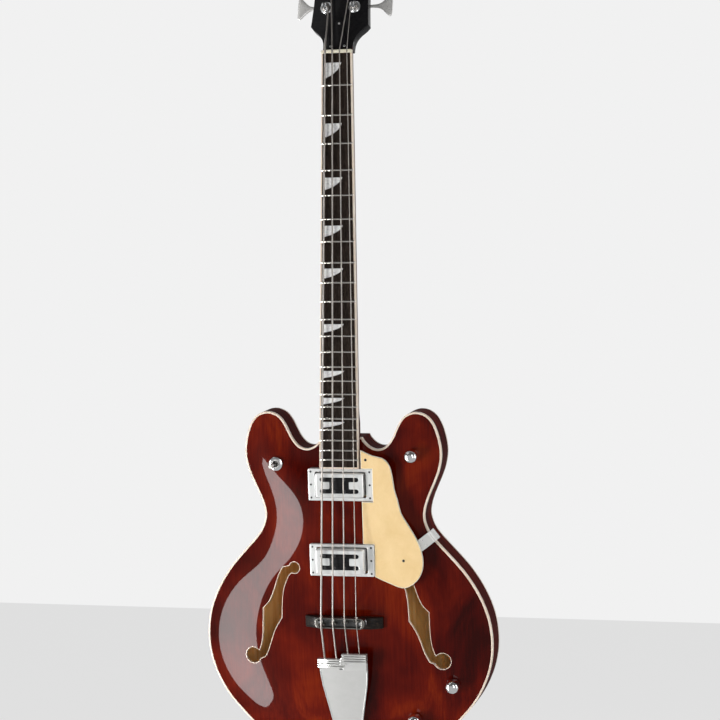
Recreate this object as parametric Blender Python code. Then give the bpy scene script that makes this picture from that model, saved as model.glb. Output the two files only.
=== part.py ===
"""A semi-hollow electric bass guitar, as the separate pieces that it comes apart into.

Metres. World +X is the treble side, +Y points from the front of the body to its back, and +Z runs
up the neck. The origin is where the fork of a wall hanger holds the neck, just under the headstock.
Three empties carry the pieces: body_line has its origin on the rim's front plane at the tips of the
horns, neck_line on the fingerboard's surface at the nut, and head_line on the headstock's face.
"""

import math

import bmesh
import bpy
from mathutils import Matrix, Vector
from mathutils.geometry import delaunay_2d_cdt, intersect_point_line

# Gaps and smoothness of the round shapes
CLEARANCE = 0.0003
MOST_TURN = math.radians(15)
PLATE_SPACING = 0.030

# Neck, fingerboard and scale
SCALE_LENGTH = 0.770
FRET_COUNT = 22
FRET_WIDTH = 0.0026
FRET_HEIGHT = 0.0011
NUT_WIDTH = 0.0424
NUT_THICKNESS = 0.005
BOARD_OVERHANG = 0.012
BOARD_END_WIDTH = 0.0556
BOARD_THICKNESS = 0.006
BOARD_BINDING = 0.0018
FRET_CROWN = 0.5
NUT_CROWN = 0.6
NUT_SHOULDER = 0.0008
NUT_SLOT_SIDE = 0.0012
NECK_DEPTH_AT_NUT = 0.0155
NECK_DEPTH_AT_HEEL = 0.0185
NECK_ANGLE = math.radians(5.72)
NECK_ROUNDNESS = 0.75
THROAT_LENGTH = 0.016
THROAT_SLOPE = 1.15
TONGUE_LAP = 0.006
HEEL_LENGTH = 0.060
HEEL_ROUNDNESS = 0.6
HEEL_BACK_WIDTH = 0.034
HEEL_SWELL = ((0.40, 0.12), (0.65, 0.40), (0.85, 0.75))
HEEL_SIDE_INSET = 0.0015
HEEL_INSET = 0.002
HEEL_FLAT = 0.018
TRUSS_ROD_RADIUS = 0.0025
TRUSS_NUT_RADIUS = 0.0032
TRUSS_NUT_GAP = 0.003
TRUSS_NUT_LENGTH = 0.008
TRUSS_POCKET_LENGTH = 0.018
TRUSS_ROD_LENGTH = 0.470
TRUSS_ROD_DEPTH = 0.0065

# Headstock, its cover and the tuners
HEAD_ANGLE = math.radians(15)
HEAD_THICKNESS = 0.015
HEAD_LENGTH = 0.166
HEAD_CORNER_WIDTH = 0.082
HEAD_CORNER_RISE = 0.036
HEAD_WAIST_WIDTH = 0.076
HEAD_TOP_WIDTH = 0.084
COVER_LENGTH = 0.043
COVER_WIDTH = 0.026
COVER_THICKNESS = 0.002
TUNER_SPREAD = 0.040
FIRST_TUNER = 0.0625
TUNER_PITCH = 0.048
POST_RADIUS = 0.004
POST_WAIST_RADIUS = 0.0034
POST_HEIGHT = 0.012
POST_WAIST_TOP = 0.0040
POST_WAIST_END = 0.0087
POST_SLOT = 0.0022
POST_SLOT_DEPTH = 0.0055
WRAP_BELOW_TOP = 0.0056
GEAR_RADIUS = 0.0062
GEAR_THICKNESS = 0.004
GEAR_STANDOFF = 0.005
WORM_RADIUS = 0.0028
WORM_LENGTH = 0.011
HOUSING_WALL = 0.0012
KEY_SHAFT_RADIUS = 0.0021
KEY_REACH = 0.0245
KEY_WIDTH = 0.0315
KEY_LENGTH = 0.023
KEY_THICKNESS = 0.005
KEY_FAN = ((0, 0.16), (0.25, 0.24), (0.46, 0.47), (0.62, 0.70), (0.74, 0.88), (0.87, 1.0), (1.0, 0.86))
BUSHING_FLANGE_RADIUS = 0.0085
BUSHING_FLANGE = 0.0015
BUSHING_RADIUS = 0.006
BUSHING_DEPTH = 0.010

# Body shell
BRIDGE_BELOW_HORNS = 0.283
BOARD_RISE = 0.0112
RIM_DEPTH = 0.0436
RIM_WALL = 0.005
PLATE_THICKNESS = 0.0045
BINDING_WIDTH = 0.0025
TOP_ARCH = 0.014
BACK_ARCH = 0.008
ARCH_BORDER = 0.006
ARCH_REACH = 0.050
BLOCK_WIDTH = 0.090

# Half of the body's outline, from the tail up the treble side to the neck: distance from the centre
# line, then distance below the tips of the horns
BODY_HALF = (
    (0.0000, 0.4920), (0.0400, 0.4895), (0.0740, 0.4825), (0.1040, 0.4700), (0.1340, 0.4500),
    (0.1592, 0.4250), (0.1796, 0.4000), (0.1950, 0.3700), (0.2030, 0.3400), (0.2040, 0.3100),
    (0.1988, 0.2800), (0.1863, 0.2500), (0.1668, 0.2200), (0.1445, 0.1950), (0.1225, 0.1700),
    (0.1142, 0.1490), (0.1165, 0.1300), (0.1244, 0.1100), (0.1352, 0.0850), (0.1400, 0.0600),
    (0.1365, 0.0350), (0.1285, 0.0150), (0.1180, 0.0050), (0.1055, 0.0018), (0.0940, 0.0045),
    (0.0860, 0.0105), (0.0785, 0.0220), (0.0720, 0.0360), (0.0620, 0.0490), (0.0505, 0.0530),
    (0.0390, 0.0490), (0.0315, 0.0415),
)
NECK_SEAT_HALF_WIDTH = 0.0290
NECK_SEAT = 0.0370

# One f-hole, on the treble side, in the same two distances: up the outer flank, round the upper eye,
# down the inner flank and round the lower eye
F_OUTER_FLANK = (
    (0.1262, 0.3370), (0.1215, 0.3240), (0.1192, 0.3050), (0.1182, 0.2760), (0.1085, 0.2655),
    (0.1010, 0.2480), (0.0950, 0.2300), (0.0885, 0.2180),
)
F_INNER_FLANK = (
    (0.0800, 0.2290), (0.0868, 0.2450), (0.0900, 0.2640), (0.0912, 0.2885), (0.1000, 0.3020),
    (0.1065, 0.3175), (0.1118, 0.3330), (0.1180, 0.3450),
)
F_UPPER_EYE = (0.0712, 0.2180)
F_UPPER_EYE_RADIUS = 0.0078
F_LOWER_EYE = (0.1355, 0.3440)
F_LOWER_EYE_RADIUS = 0.0112

# Strings: name, diameter and the tuner that winds them, from the bass side
STRINGS = (
    ("string_e", 0.00267, "bass_lower"),
    ("string_a", 0.00216, "bass_upper"),
    ("string_d", 0.00165, "treble_upper"),
    ("string_g", 0.00114, "treble_lower"),
)
NUT_SPACING = 0.0102
BRIDGE_SPACING = 0.0165
NUT_ACTION = 0.0019
BRIDGE_ACTION = 0.0055
SADDLE_SETBACKS = (0.0100, 0.0080, 0.0060, 0.0040)

# Pickups, by the gap from the fingerboard's end to the upper ring and from the lower ring to the bridge
NECK_PICKUP_GAP = 0.0010
BRIDGE_PICKUP_GAP = 0.0540
RING_WIDTH = 0.0916
RING_LENGTH = 0.0445
RING_HEIGHTS = {"neck": 0.0150, "bridge": 0.0190}
PICKUP_WIDTH = 0.0675
PICKUP_LENGTH = 0.0334
PICKUP_GAP = 0.0012
RING_CORNER = 0.0020
COVER_CORNER = 0.0025
COVER_SKIRT = 0.0060
COVER_WALL = 0.0008
STRING_GAP = 0.0030
WINDOW_WIDTH = 0.0550
WINDOW_LENGTH = 0.0221
WINDOW_WAIST = 0.0280
WINDOW_ARM = 0.0060
POLE_ROWS = 0.0166
POLE_SPACING = 0.0141
POLE_RADIUS = 0.0021
POLE_RISE = 0.0004
CAVITY_FLOOR = 0.012

# Pickguard and its bracket. A place on the guard is its distance from the centre line, then the share of
# the way from the upper edge of the neck pickup's ring to the lower edge of the bridge pickup's ring
GUARD_FRONT = 0.0180
GUARD_THICKNESS = 0.0025
GUARD_NECK_EDGE = 0.0305
GUARD_TOP = -0.177
GUARD_CURVE = (
    (0.0470, -0.127), (0.0607, -0.106), (0.0697, -0.049), (0.0740, 0.042), (0.0767, 0.180),
    (0.0808, 0.277), (0.0851, 0.400), (0.0935, 0.498), (0.1029, 0.604), (0.1105, 0.718),
    (0.1142, 0.839), (0.1120, 0.947), (0.1050, 1.028), (0.0940, 1.085), (0.0830, 1.099),
    (0.0658, 1.059), (0.0534, 1.024),
)
GUARD_SPACER = (0.0375, -0.088)
GUARD_SPACER_RADIUS = 0.0035
BRACKET_PLACE = 0.1720
BRACKET_WIDTH = 0.0155
BRACKET_THICKNESS = 0.0015
BRACKET_REACH = 0.026
BRACKET_LEG = 0.012

# Floating bridge
BRIDGE_BASE_WIDTH = 0.1100
BRIDGE_BASE_SHIFT = 0.0030
BRIDGE_BASE_LENGTH = 0.0155
BRIDGE_BASE_TOP = 0.0260
BRIDGE_BASE_END = 0.0195
BRIDGE_SHOULDER = 0.72
BRIDGE_FOOT = 0.030
BRIDGE_ARCH = 0.003
BAR_WIDTH = 0.0705
BAR_LENGTH = 0.0150
BAR_HEIGHT = 0.0090
BAR_ROUND = 0.42
BAR_END_WALL = 0.0050
BAR_SIDE_WALL = 0.00225
BAR_RECESS = 0.0040
BAR_SHIFT = 0.0010
SADDLE_RISE = 0.0034
SADDLE_WIDTH = 0.0090
SADDLE_LENGTH = 0.0030
WHEEL_SPREAD = 0.0580
WHEEL_RADIUS = 0.0068
WHEEL_THICKNESS = 0.0025
WHEEL_POST_RADIUS = 0.0025
WHEEL_POST_SINK = 0.0080

# Trapeze tailpiece and its foot bracket
ANCHOR_FRONT = 0.0340
ANCHOR_RADIUS = 0.0048
ANCHOR_PLACES = (0.3440, 0.3365)
TAILPIECE_THICKNESS = 0.0025
TAILPIECE_HALF = (
    (0.0345, 0.3440), (0.0340, 0.3600), (0.0318, 0.3800), (0.0268, 0.4050), (0.0222, 0.4300),
    (0.0180, 0.4580), (0.0158, 0.4800),
)
TAILPIECE_FOOT = 0.0060
FOOT_WIDTH = 0.0300
FOOT_DEPTH = 0.0380
FOOT_THICKNESS = 0.0020
FOOT_HINGE_RADIUS = 0.0025

# Controls: place from the centre line and below the horns
KNOBS = {"master_volume": (0.1000, 0.0610), "neck_volume": (0.1495, 0.3780), "bridge_volume": (0.0945, 0.4280)}
KNOB_RADIUS = 0.0098
KNOB_HEIGHT = 0.0165
KNOB_GAP = 0.0008
SHAFT_RADIUS = 0.0030
POT_BUSH_RADIUS = 0.0040
POT_NUT_RADIUS = 0.0062
POT_NUT_HEIGHT = 0.0022
POT_RADIUS = 0.0120
POT_HEIGHT = 0.0095
SWITCH_PLACE = (-0.0945, 0.0740)
SWITCH_NUT_RADIUS = 0.0098
SWITCH_NUT_HEIGHT = 0.0024
SWITCH_BUSH_RADIUS = 0.0058
SWITCH_BORE_RADIUS = 0.0044
SWITCH_LEVER_RADIUS = 0.0016
SWITCH_TIP_RADIUS = 0.0032
SWITCH_LEVER_LENGTH = 0.0230
SWITCH_MOUTH_RISE = 0.0006
SWITCH_PIVOT_DEPTH = 0.0062
SWITCH_FRAME = (0.0160, 0.0380, 0.0200)
JACK_PLACE = (0.0620, 0.4560)
JACK_BORE_RADIUS = 0.0034
JACK_BARREL_RADIUS = 0.0047
JACK_LENGTH = 0.0260
JACK_NOSE = 0.0010
JACK_COLLAR = 0.0022
JACK_PLATE_RADIUS = 0.0120
JACK_PLATE_THICKNESS = 0.0016

# Strap buttons
BUTTON_RADIUS = 0.0075
BUTTON_WAIST_RADIUS = 0.0040
BUTTON_LENGTH = 0.0120

# Where the hanger's fork holds the neck, in neck_line's frame
HANGER_DEPTH = 0.0135
HANGER_RISE = 0.0150


def start_empty():
    """Removes what the file opens with."""
    for thing in list(bpy.data.objects):
        bpy.data.objects.remove(thing)


def fret_place(fret):
    """The distance from the nut to a fret."""
    return SCALE_LENGTH * (1 - 2 ** (-fret / 12))


# What follows from the driving sizes

BOARD_LENGTH = fret_place(FRET_COUNT) + BOARD_OVERHANG
BODY_JOIN = SCALE_LENGTH - BRIDGE_BELOW_HORNS
PICKUP_PLACES = {
    "neck": BOARD_LENGTH + NECK_PICKUP_GAP + RING_LENGTH / 2,
    "bridge": SCALE_LENGTH - BRIDGE_PICKUP_GAP - RING_LENGTH / 2,
}

# Frames

NECK_TILT = Matrix.Rotation(-NECK_ANGLE, 4, "X")
NECK = NECK_TILT @ Matrix.Translation((0, -HANGER_DEPTH, -HANGER_RISE))
BODY = Matrix.Translation(NECK @ Vector((0, BOARD_RISE, -BODY_JOIN)))
NUT_SHELF = BOARD_THICKNESS + CLEARANCE
HEAD = NECK @ Matrix.Translation((0, NUT_SHELF, NUT_THICKNESS)) @ Matrix.Rotation(-HEAD_ANGLE, 4, "X")
BODY_FROM_NECK = BODY.inverted() @ NECK
NECK_FROM_BODY = BODY_FROM_NECK.inverted()
NECK_FROM_HEAD = NECK.inverted() @ HEAD


def add_frame(name, matrix):
    """An empty at the given place, for pieces to hang on."""
    frame = bpy.data.objects.new(name, None)
    frame.empty_display_size = 0.05
    frame.matrix_world = matrix
    bpy.context.collection.objects.link(frame)
    return frame


# Materials

FINISHES = {
    "wine_lacquer": ((0.16, 0.010, 0.006), 0.15, 0.0),
    "bare_wood": ((0.60, 0.36, 0.17), 0.70, 0.0),
    "black_lacquer": ((0.010, 0.010, 0.011), 0.12, 0.0),
    "rosewood": ((0.070, 0.036, 0.026), 0.50, 0.0),
    "cream_plastic": ((0.80, 0.66, 0.42), 0.30, 0.0),
    "bone": ((0.85, 0.80, 0.66), 0.40, 0.0),
    "black_plastic": ((0.012, 0.012, 0.013), 0.30, 0.0),
    "chrome": ((0.86, 0.87, 0.88), 0.08, 1.0),
    "nickel_steel": ((0.55, 0.53, 0.50), 0.30, 1.0),
    "ebony": ((0.014, 0.011, 0.010), 0.35, 0.0),
}


def finish(name):
    """The Principled material of that name, made on first use."""
    material = bpy.data.materials.get(name)
    if material is None:
        colour, roughness, metallic = FINISHES[name]
        material = bpy.data.materials.new(name)
        material.use_nodes = True
        shader = material.node_tree.nodes["Principled BSDF"]
        shader.inputs["Base Color"].default_value = (*colour, 1.0)
        shader.inputs["Roughness"].default_value = roughness
        shader.inputs["Metallic"].default_value = metallic
    return material


# Plane curves


def through(points, closed=False):
    """A smooth curve through the points, with more points where it turns more."""
    points = [Vector(p) for p in points]
    count = len(points)
    curve = []
    for i in range(count if closed else count - 1):
        if closed:
            before, start, end, after = (points[(i + k) % count] for k in (-1, 0, 1, 2))
        else:
            start, end = points[i], points[i + 1]
            before = points[i - 1] if i else start * 2 - end
            after = points[i + 2] if i + 2 < count else end * 2 - start
        chord = (end - start).length
        first = (end - before).normalized() * chord
        last = (after - start).normalized() * chord
        steps = max(1, math.ceil(first.angle(last) / MOST_TURN))
        for k in range(steps):
            u = k / steps
            curve.append(
                start * (2 * u**3 - 3 * u**2 + 1)
                + first * (u**3 - 2 * u**2 + u)
                + end * (3 * u**2 - 2 * u**3)
                + last * (u**3 - u**2)
            )
    if not closed:
        curve.append(points[-1])
    return curve


def arc(centre, radius, begin, end, steps):
    """Points on an arc, its ends included; angles in degrees, from +x towards +y."""
    centre = Vector(centre)
    angles = [math.radians(begin + (end - begin) * k / steps) for k in range(steps + 1)]
    return [centre + radius * Vector((math.cos(a), math.sin(a))) for a in angles]


def circle(centre, radius, sides):
    return arc(centre, radius, 0, 360 * (1 - 1 / sides), sides - 1)


def rounded_box(width, length, radius, centre=(0, 0), steps=2):
    """A rectangle with round corners."""
    x, y = width / 2 - radius, length / 2 - radius
    corners = ((x, y, 0), (-x, y, 90), (-x, -y, 180), (x, -y, 270))
    centre = Vector(centre)
    return [
        point
        for cx, cy, begin in corners
        for point in arc(centre + Vector((cx, cy)), radius, begin, begin + 90, steps)
    ]


def area(loop):
    return sum(a.x * b.y - b.x * a.y for a, b in zip(loop, loop[1:] + loop[:1])) / 2


def inset(loop, distance):
    """The closed loop moved inwards by the distance."""
    side = math.copysign(distance, area(loop))
    moved = []
    for before, point, after in zip(loop[-1:] + loop[:-1], loop, loop[1:] + loop[:1]):
        first = (point - before).normalized()
        last = (after - point).normalized()
        normal = Vector((-first.y - last.y, first.x + last.x)).normalized()
        moved.append(point + normal * side / max(0.5, normal.dot(Vector((-first.y, first.x)))))
    return moved


def mirrored(loop):
    return [Vector((-p.x, p.y)) for p in reversed(loop)]


def down(points):
    """Turns distances below the horns into z."""
    return [Vector((x, -below)) for x, below in points]


def distance_to(point, loop):
    nearest = 1.0
    for a, b in zip(loop, loop[1:] + loop[:1]):
        foot, share = intersect_point_line(point, a, b)
        foot = (a if share < 0 else b if share > 1 else foot).to_2d()
        nearest = min(nearest, (foot - point).length)
    return nearest


def inside(point, loop):
    odd = False
    for a, b in zip(loop, loop[1:] + loop[:1]):
        if (a.y > point.y) != (b.y > point.y):
            if point.x < a.x + (b.x - a.x) * (point.y - a.y) / (b.y - a.y):
                odd = not odd
    return odd


def body_outline():
    """The rim's outer line, counter-clockwise as seen from the back, with its flat at the neck."""
    half = through(down(BODY_HALF))
    seat = Vector((NECK_SEAT_HALF_WIDTH, -NECK_SEAT))
    return half + [seat] + mirrored(half[1:] + [seat])


def f_hole_outline():
    """The treble f-hole."""
    (ux, uz), (lx, lz) = F_UPPER_EYE, F_LOWER_EYE
    upper = arc((ux, -uz), F_UPPER_EYE_RADIUS, 15, 300, 9)
    lower = arc((lx, -lz), F_LOWER_EYE_RADIUS, 200, 480, 9)
    corner_out, corner_in = 3, 3
    outer, inner = down(F_OUTER_FLANK), down(F_INNER_FLANK)
    flank_up = through(outer[: corner_out + 1])[:-1] + through(outer[corner_out:])
    flank_down = through(inner[: corner_in + 1])[:-1] + through(inner[corner_in:])
    return flank_up + upper + flank_down + lower


OUTLINE = body_outline()
PLATE_LINE = inset(OUTLINE, BINDING_WIDTH + CLEARANCE)
F_HOLE = f_hole_outline()


# The arch of the top and of the back


def fine_line(loop, spacing=0.005):
    """The loop's points at an even small spacing, each with the length that it stands for."""
    samples = []
    for a, b in zip(loop, loop[1:] + loop[:1]):
        count = max(1, round((b - a).length / spacing))
        samples += [(a.lerp(b, (k + 0.5) / count), (b - a).length / count) for k in range(count)]
    return samples


EDGE_SAMPLES = fine_line(OUTLINE)


def edge_depth(point):
    """How far inside the outline a point lies, as a smooth function with no ridge down the middle."""
    pull = sum(length / max(1e-12, (sample - point).length_squared ** 2) for sample, length in EDGE_SAMPLES)
    return (2 / math.pi * pull) ** (-1 / 3)


def arch(point, rise):
    depth = edge_depth(point) - ARCH_BORDER
    return rise * (1 - math.exp(-((depth / ARCH_REACH) ** 2))) if depth > 0 else 0.0


def top_front(point):
    return -arch(point, TOP_ARCH)


def back_face(point):
    return RIM_DEPTH + arch(point, BACK_ARCH)


# Meshes


def add_mesh(name, points, faces, frame, material):
    """An object from points and faces, with its faces turned out."""
    mesh = bpy.data.meshes.new(name)
    mesh.from_pydata(points, [], faces)
    shape = bmesh.new()
    shape.from_mesh(mesh)
    bmesh.ops.recalc_face_normals(shape, faces=shape.faces)
    shape.to_mesh(mesh)
    shape.free()
    mesh.materials.append(finish(material))
    mesh.shade_smooth()
    mesh.set_sharp_from_angle(angle=math.radians(30))
    thing = bpy.data.objects.new(name, mesh)
    thing.parent = frame
    bpy.context.collection.objects.link(thing)
    return thing


def skin(name, loops, frame, material, ring=False):
    """A solid whose skin joins equal loops in turn. Its ends are capped, or joined where it is a ring."""
    size = len(loops[0])
    points = [Vector(p) for loop in loops for p in loop]
    pairs = list(zip(range(len(loops)), range(1, len(loops))))
    faces = [] if ring else [tuple(range(size)), tuple(range(len(points) - size, len(points)))]
    if ring:
        pairs.append((len(loops) - 1, 0))
    for i, j in pairs:
        for k in range(size):
            after = (k + 1) % size
            faces.append((i * size + k, i * size + after, j * size + after, j * size + k))
    return add_mesh(name, points, faces, frame, material)


def slab(name, outline, front, back, frame, material):
    """An outline in x and z, as thick as from front to back along y."""
    loops = [[(p.x, y, p.y) for p in outline] for y in (front, back)]
    return skin(name, loops, frame, material)


def hoop(name, outer, inner, front, back, frame, material):
    """The band between two equal outlines, from front to back along y."""
    loops = [
        [(p.x, y, p.y) for p in line]
        for line, y in ((outer, front), (outer, back), (inner, back), (inner, front))
    ]
    return skin(name, loops, frame, material, ring=True)


def turned(name, profile, centre, axis, frame, material, sides=14, ring=False):
    """A profile of (radius, height) turned about a line through centre, with height along axis."""
    centre = Vector(centre)
    loops = []
    for radius, height in profile:
        loop = []
        for k in range(sides):
            a = 2 * math.pi * k / sides
            u, v = radius * math.cos(a), radius * math.sin(a)
            point = {"x": (height, u, v), "y": (u, height, v), "z": (u, v, height)}[axis]
            loop.append(centre + Vector(point))
        loops.append(loop)
    return skin(name, loops, frame, material, ring=ring)


def block(name, low, high, frame, material):
    """A box between two corners."""
    corners = ((low[0], low[2]), (high[0], low[2]), (high[0], high[2]), (low[0], high[2]))
    outline = [Vector(corner) for corner in corners]
    return slab(name, outline, low[1], high[1], frame, material)


def helper(thing):
    thing.hide_render = True
    thing.display_type = "WIRE"
    return thing


def combine(thing, other, operation):
    modifier = thing.modifiers.new(other.name, "BOOLEAN")
    modifier.operation = operation
    modifier.object = helper(other)
    return thing


def cut(thing, cutter):
    return combine(thing, cutter, "DIFFERENCE")


def join(thing, other):
    return combine(thing, other, "UNION")


def plan(outline, spacing, holes=()):
    """Triangles that fill an outline, with even points inside it and whole holes."""
    loops = [outline, *holes]
    points, edges = [], []
    for loop in loops:
        first = len(points)
        points += loop
        edges += [(first + k, first + (k + 1) % len(loop)) for k in range(len(loop))]
    row_height = spacing * math.sqrt(3) / 2
    lowest, highest = min(p.y for p in outline), max(p.y for p in outline)
    widest = max(p.x for p in outline)
    for row in range(math.floor((highest - lowest) / row_height) + 1):
        z = lowest + row_height * (row + 0.5)
        shift = spacing / 2 * (row % 2)
        columns = math.ceil(widest / spacing) + 1
        for column in range(-columns, columns + 1):
            point = Vector((column * spacing + shift, z))
            if inside(point, outline) and all(distance_to(point, loop) > spacing * 0.45 for loop in loops):
                points.append(point)
    found, _, faces, *_ = delaunay_2d_cdt(points, edges, [], 1, 1e-7)
    return [Vector(p) for p in found], [tuple(face) for face in faces]


def centre_of(points, face):
    return sum((points[i] for i in face), Vector((0, 0))) / len(face)


def shell(name, points, faces, front, back, frame, material):
    """A plate over a plan. Front and back give y at each point."""
    used = sorted({i for face in faces for i in face})
    place = {old: new for new, old in enumerate(used)}
    faces = [tuple(place[i] for i in face) for face in faces]
    points = [points[i] for i in used]
    count = len(points)
    corners = [(p.x, front(p), p.y) for p in points] + [(p.x, back(p), p.y) for p in points]
    skins = faces + [tuple(i + count for i in reversed(face)) for face in faces]
    edges = {(a, b) for face in faces for a, b in zip(face, face[1:] + face[:1])}
    walls = [(b, a, a + count, b + count) for a, b in edges if (b, a) not in edges]
    return add_mesh(name, corners, skins + walls, frame, material)


# Body


def pickup_centre(which):
    """A pickup's middle, below the horns."""
    return -(BODY_FROM_NECK @ Vector((0, 0, -PICKUP_PLACES[which]))).z


def cavity_outline(which):
    width, length = PICKUP_WIDTH + 2 * PICKUP_GAP, PICKUP_LENGTH + 2 * PICKUP_GAP
    return rounded_box(width, length, 2 * PICKUP_GAP, (0, -pickup_centre(which)), 1)


def top_holes():
    """Every opening in the top: f-holes, pickup cavities and the control holes."""
    holes = [F_HOLE, mirrored(F_HOLE)]
    holes += [cavity_outline(which) for which in PICKUP_PLACES]
    round_holes = [(place, POT_BUSH_RADIUS) for place in KNOBS.values()]
    round_holes += [(SWITCH_PLACE, SWITCH_BUSH_RADIUS), (JACK_PLACE, JACK_BARREL_RADIUS)]
    for (x, below), radius in round_holes:
        holes.append(circle((x, -below), (radius + CLEARANCE) / math.cos(math.pi / 10), 10))
    return holes


TOP_POINTS, TOP_FACES = plan(PLATE_LINE, PLATE_SPACING, top_holes())
TOP_FRONTS = [top_front(p) for p in TOP_POINTS]


def front_at(point):
    """The y of the top's front at a point, on the flat triangles that it is made of."""
    for i, j, k in TOP_FACES:
        a, b, c = TOP_POINTS[i], TOP_POINTS[j], TOP_POINTS[k]
        whole = (b - a).cross(c - a)
        shares = [(b - point).cross(c - point) / whole, (c - point).cross(a - point) / whole]
        shares.append(1 - sum(shares))
        if min(shares) > -1e-6:
            return sum(share * TOP_FRONTS[n] for share, n in zip(shares, (i, j, k)))
    return 0.0


def fronts_under(x, below, radius):
    """The front-most and back-most y of the top's front under a round piece."""
    spot = Vector((x, -below))
    inner = [TOP_FRONTS[n] for n, p in enumerate(TOP_POINTS) if (p - spot).length < radius]
    found = inner + [front_at(p) for p in [*circle(spot, radius, 16), spot]]
    return min(found), max(found)


def build_shell(body):
    """The rim, top, back and bindings. It returns the solids that later pieces are fitted with."""
    plate_back = PLATE_THICKNESS + CLEARANCE
    rim_back = RIM_DEPTH - plate_back
    hoop("body_rim", OUTLINE, inset(OUTLINE, RIM_WALL), plate_back, rim_back, body, "wine_lacquer")
    band = inset(OUTLINE, BINDING_WIDTH)
    hoop("top_binding", OUTLINE, band, 0, PLATE_THICKNESS, body, "cream_plastic")
    hoop("back_binding", OUTLINE, band, RIM_DEPTH - PLATE_THICKNESS, RIM_DEPTH, body, "cream_plastic")

    holes = top_holes()
    points, faces = TOP_POINTS, TOP_FACES
    fronts = {tuple(p): front for p, front in zip(TOP_POINTS, TOP_FRONTS)}
    kept = [f for f in faces if not any(inside(centre_of(points, f), hole) for hole in holes)]
    shell(
        "top_plate", points, kept,
        lambda p: fronts[tuple(p)], lambda p: fronts[tuple(p)] + PLATE_THICKNESS, body, "wine_lacquer",
    )
    over_top = helper(shell(
        "space_under_hardware", points, faces,
        lambda p: fronts[tuple(p)] - CLEARANCE, lambda p: RIM_DEPTH / 2, body, "bare_wood",
    ))
    before_block = helper(shell(
        "space_before_block", points, faces,
        lambda p: -2 * TOP_ARCH, lambda p: fronts[tuple(p)] + PLATE_THICKNESS + CLEARANCE, body, "bare_wood",
    ))

    points, faces = plan(PLATE_LINE, PLATE_SPACING * 1.3)
    backs = {tuple(p): back_face(p) for p in points}
    shell(
        "back_plate", points, faces,
        lambda p: backs[tuple(p)] - PLATE_THICKNESS, lambda p: backs[tuple(p)], body, "wine_lacquer",
    )
    behind_block = helper(shell(
        "space_behind_block", points, faces,
        lambda p: backs[tuple(p)] - PLATE_THICKNESS - CLEARANCE,
        lambda p: RIM_DEPTH + 3 * BACK_ARCH, body, "bare_wood",
    ))
    return over_top, before_block, behind_block


def build_block(body, before_block, behind_block):
    """The maple block down the middle, with a pocket for each pickup."""
    top_end = NECK_SEAT + RIM_WALL + CLEARANCE
    low_end = BODY_HALF[0][1]
    half = BLOCK_WIDTH / 2
    core = block(
        "centre_block", (-half, -TOP_ARCH, -low_end), (half, RIM_DEPTH + BACK_ARCH, -top_end), body, "bare_wood"
    )
    room = inset(OUTLINE, RIM_WALL + CLEARANCE)
    within_rim = slab("space_within_rim", room, -2 * TOP_ARCH, RIM_DEPTH + 2 * BACK_ARCH, body, "bare_wood")
    combine(core, within_rim, "INTERSECT")
    cut(core, before_block)
    cut(core, behind_block)
    for which in PICKUP_PLACES:
        pocket = slab(f"pocket_{which}", cavity_outline(which), -2 * TOP_ARCH, CAVITY_FLOOR, body, "bare_wood")
        cut(core, pocket)


# Neck


def board_half(below):
    """Half the fingerboard's width at a distance below the nut."""
    return (NUT_WIDTH + (BOARD_END_WIDTH - NUT_WIDTH) * below / BOARD_LENGTH) / 2


def neck_section(half_width, depth, top, steps=9):
    """A D-shaped section in x and y, flat at the fingerboard."""
    section = []
    for k in range(steps + 1):
        a = math.pi * k / steps
        section.append((half_width * math.cos(a), top + depth * abs(math.sin(a)) ** NECK_ROUNDNESS))
    return section


def heel_section(below):
    """The heel cut square to the body, at a distance below the horns' tips."""
    underside = (BODY_FROM_NECK @ Vector((0, NUT_SHELF, -BODY_JOIN - below))).y
    back = RIM_DEPTH - HEEL_INSET
    front_half, back_half = NECK_SEAT_HALF_WIDTH - HEEL_SIDE_INSET, HEEL_BACK_WIDTH / 2
    section = []
    for x, y in neck_section(1, 1, 0):
        half = back_half + (front_half - back_half) * (1 - y) ** HEEL_ROUNDNESS
        section.append(NECK_FROM_BODY @ Vector((x * half, underside + (back - underside) * y, -below)))
    return section


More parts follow.
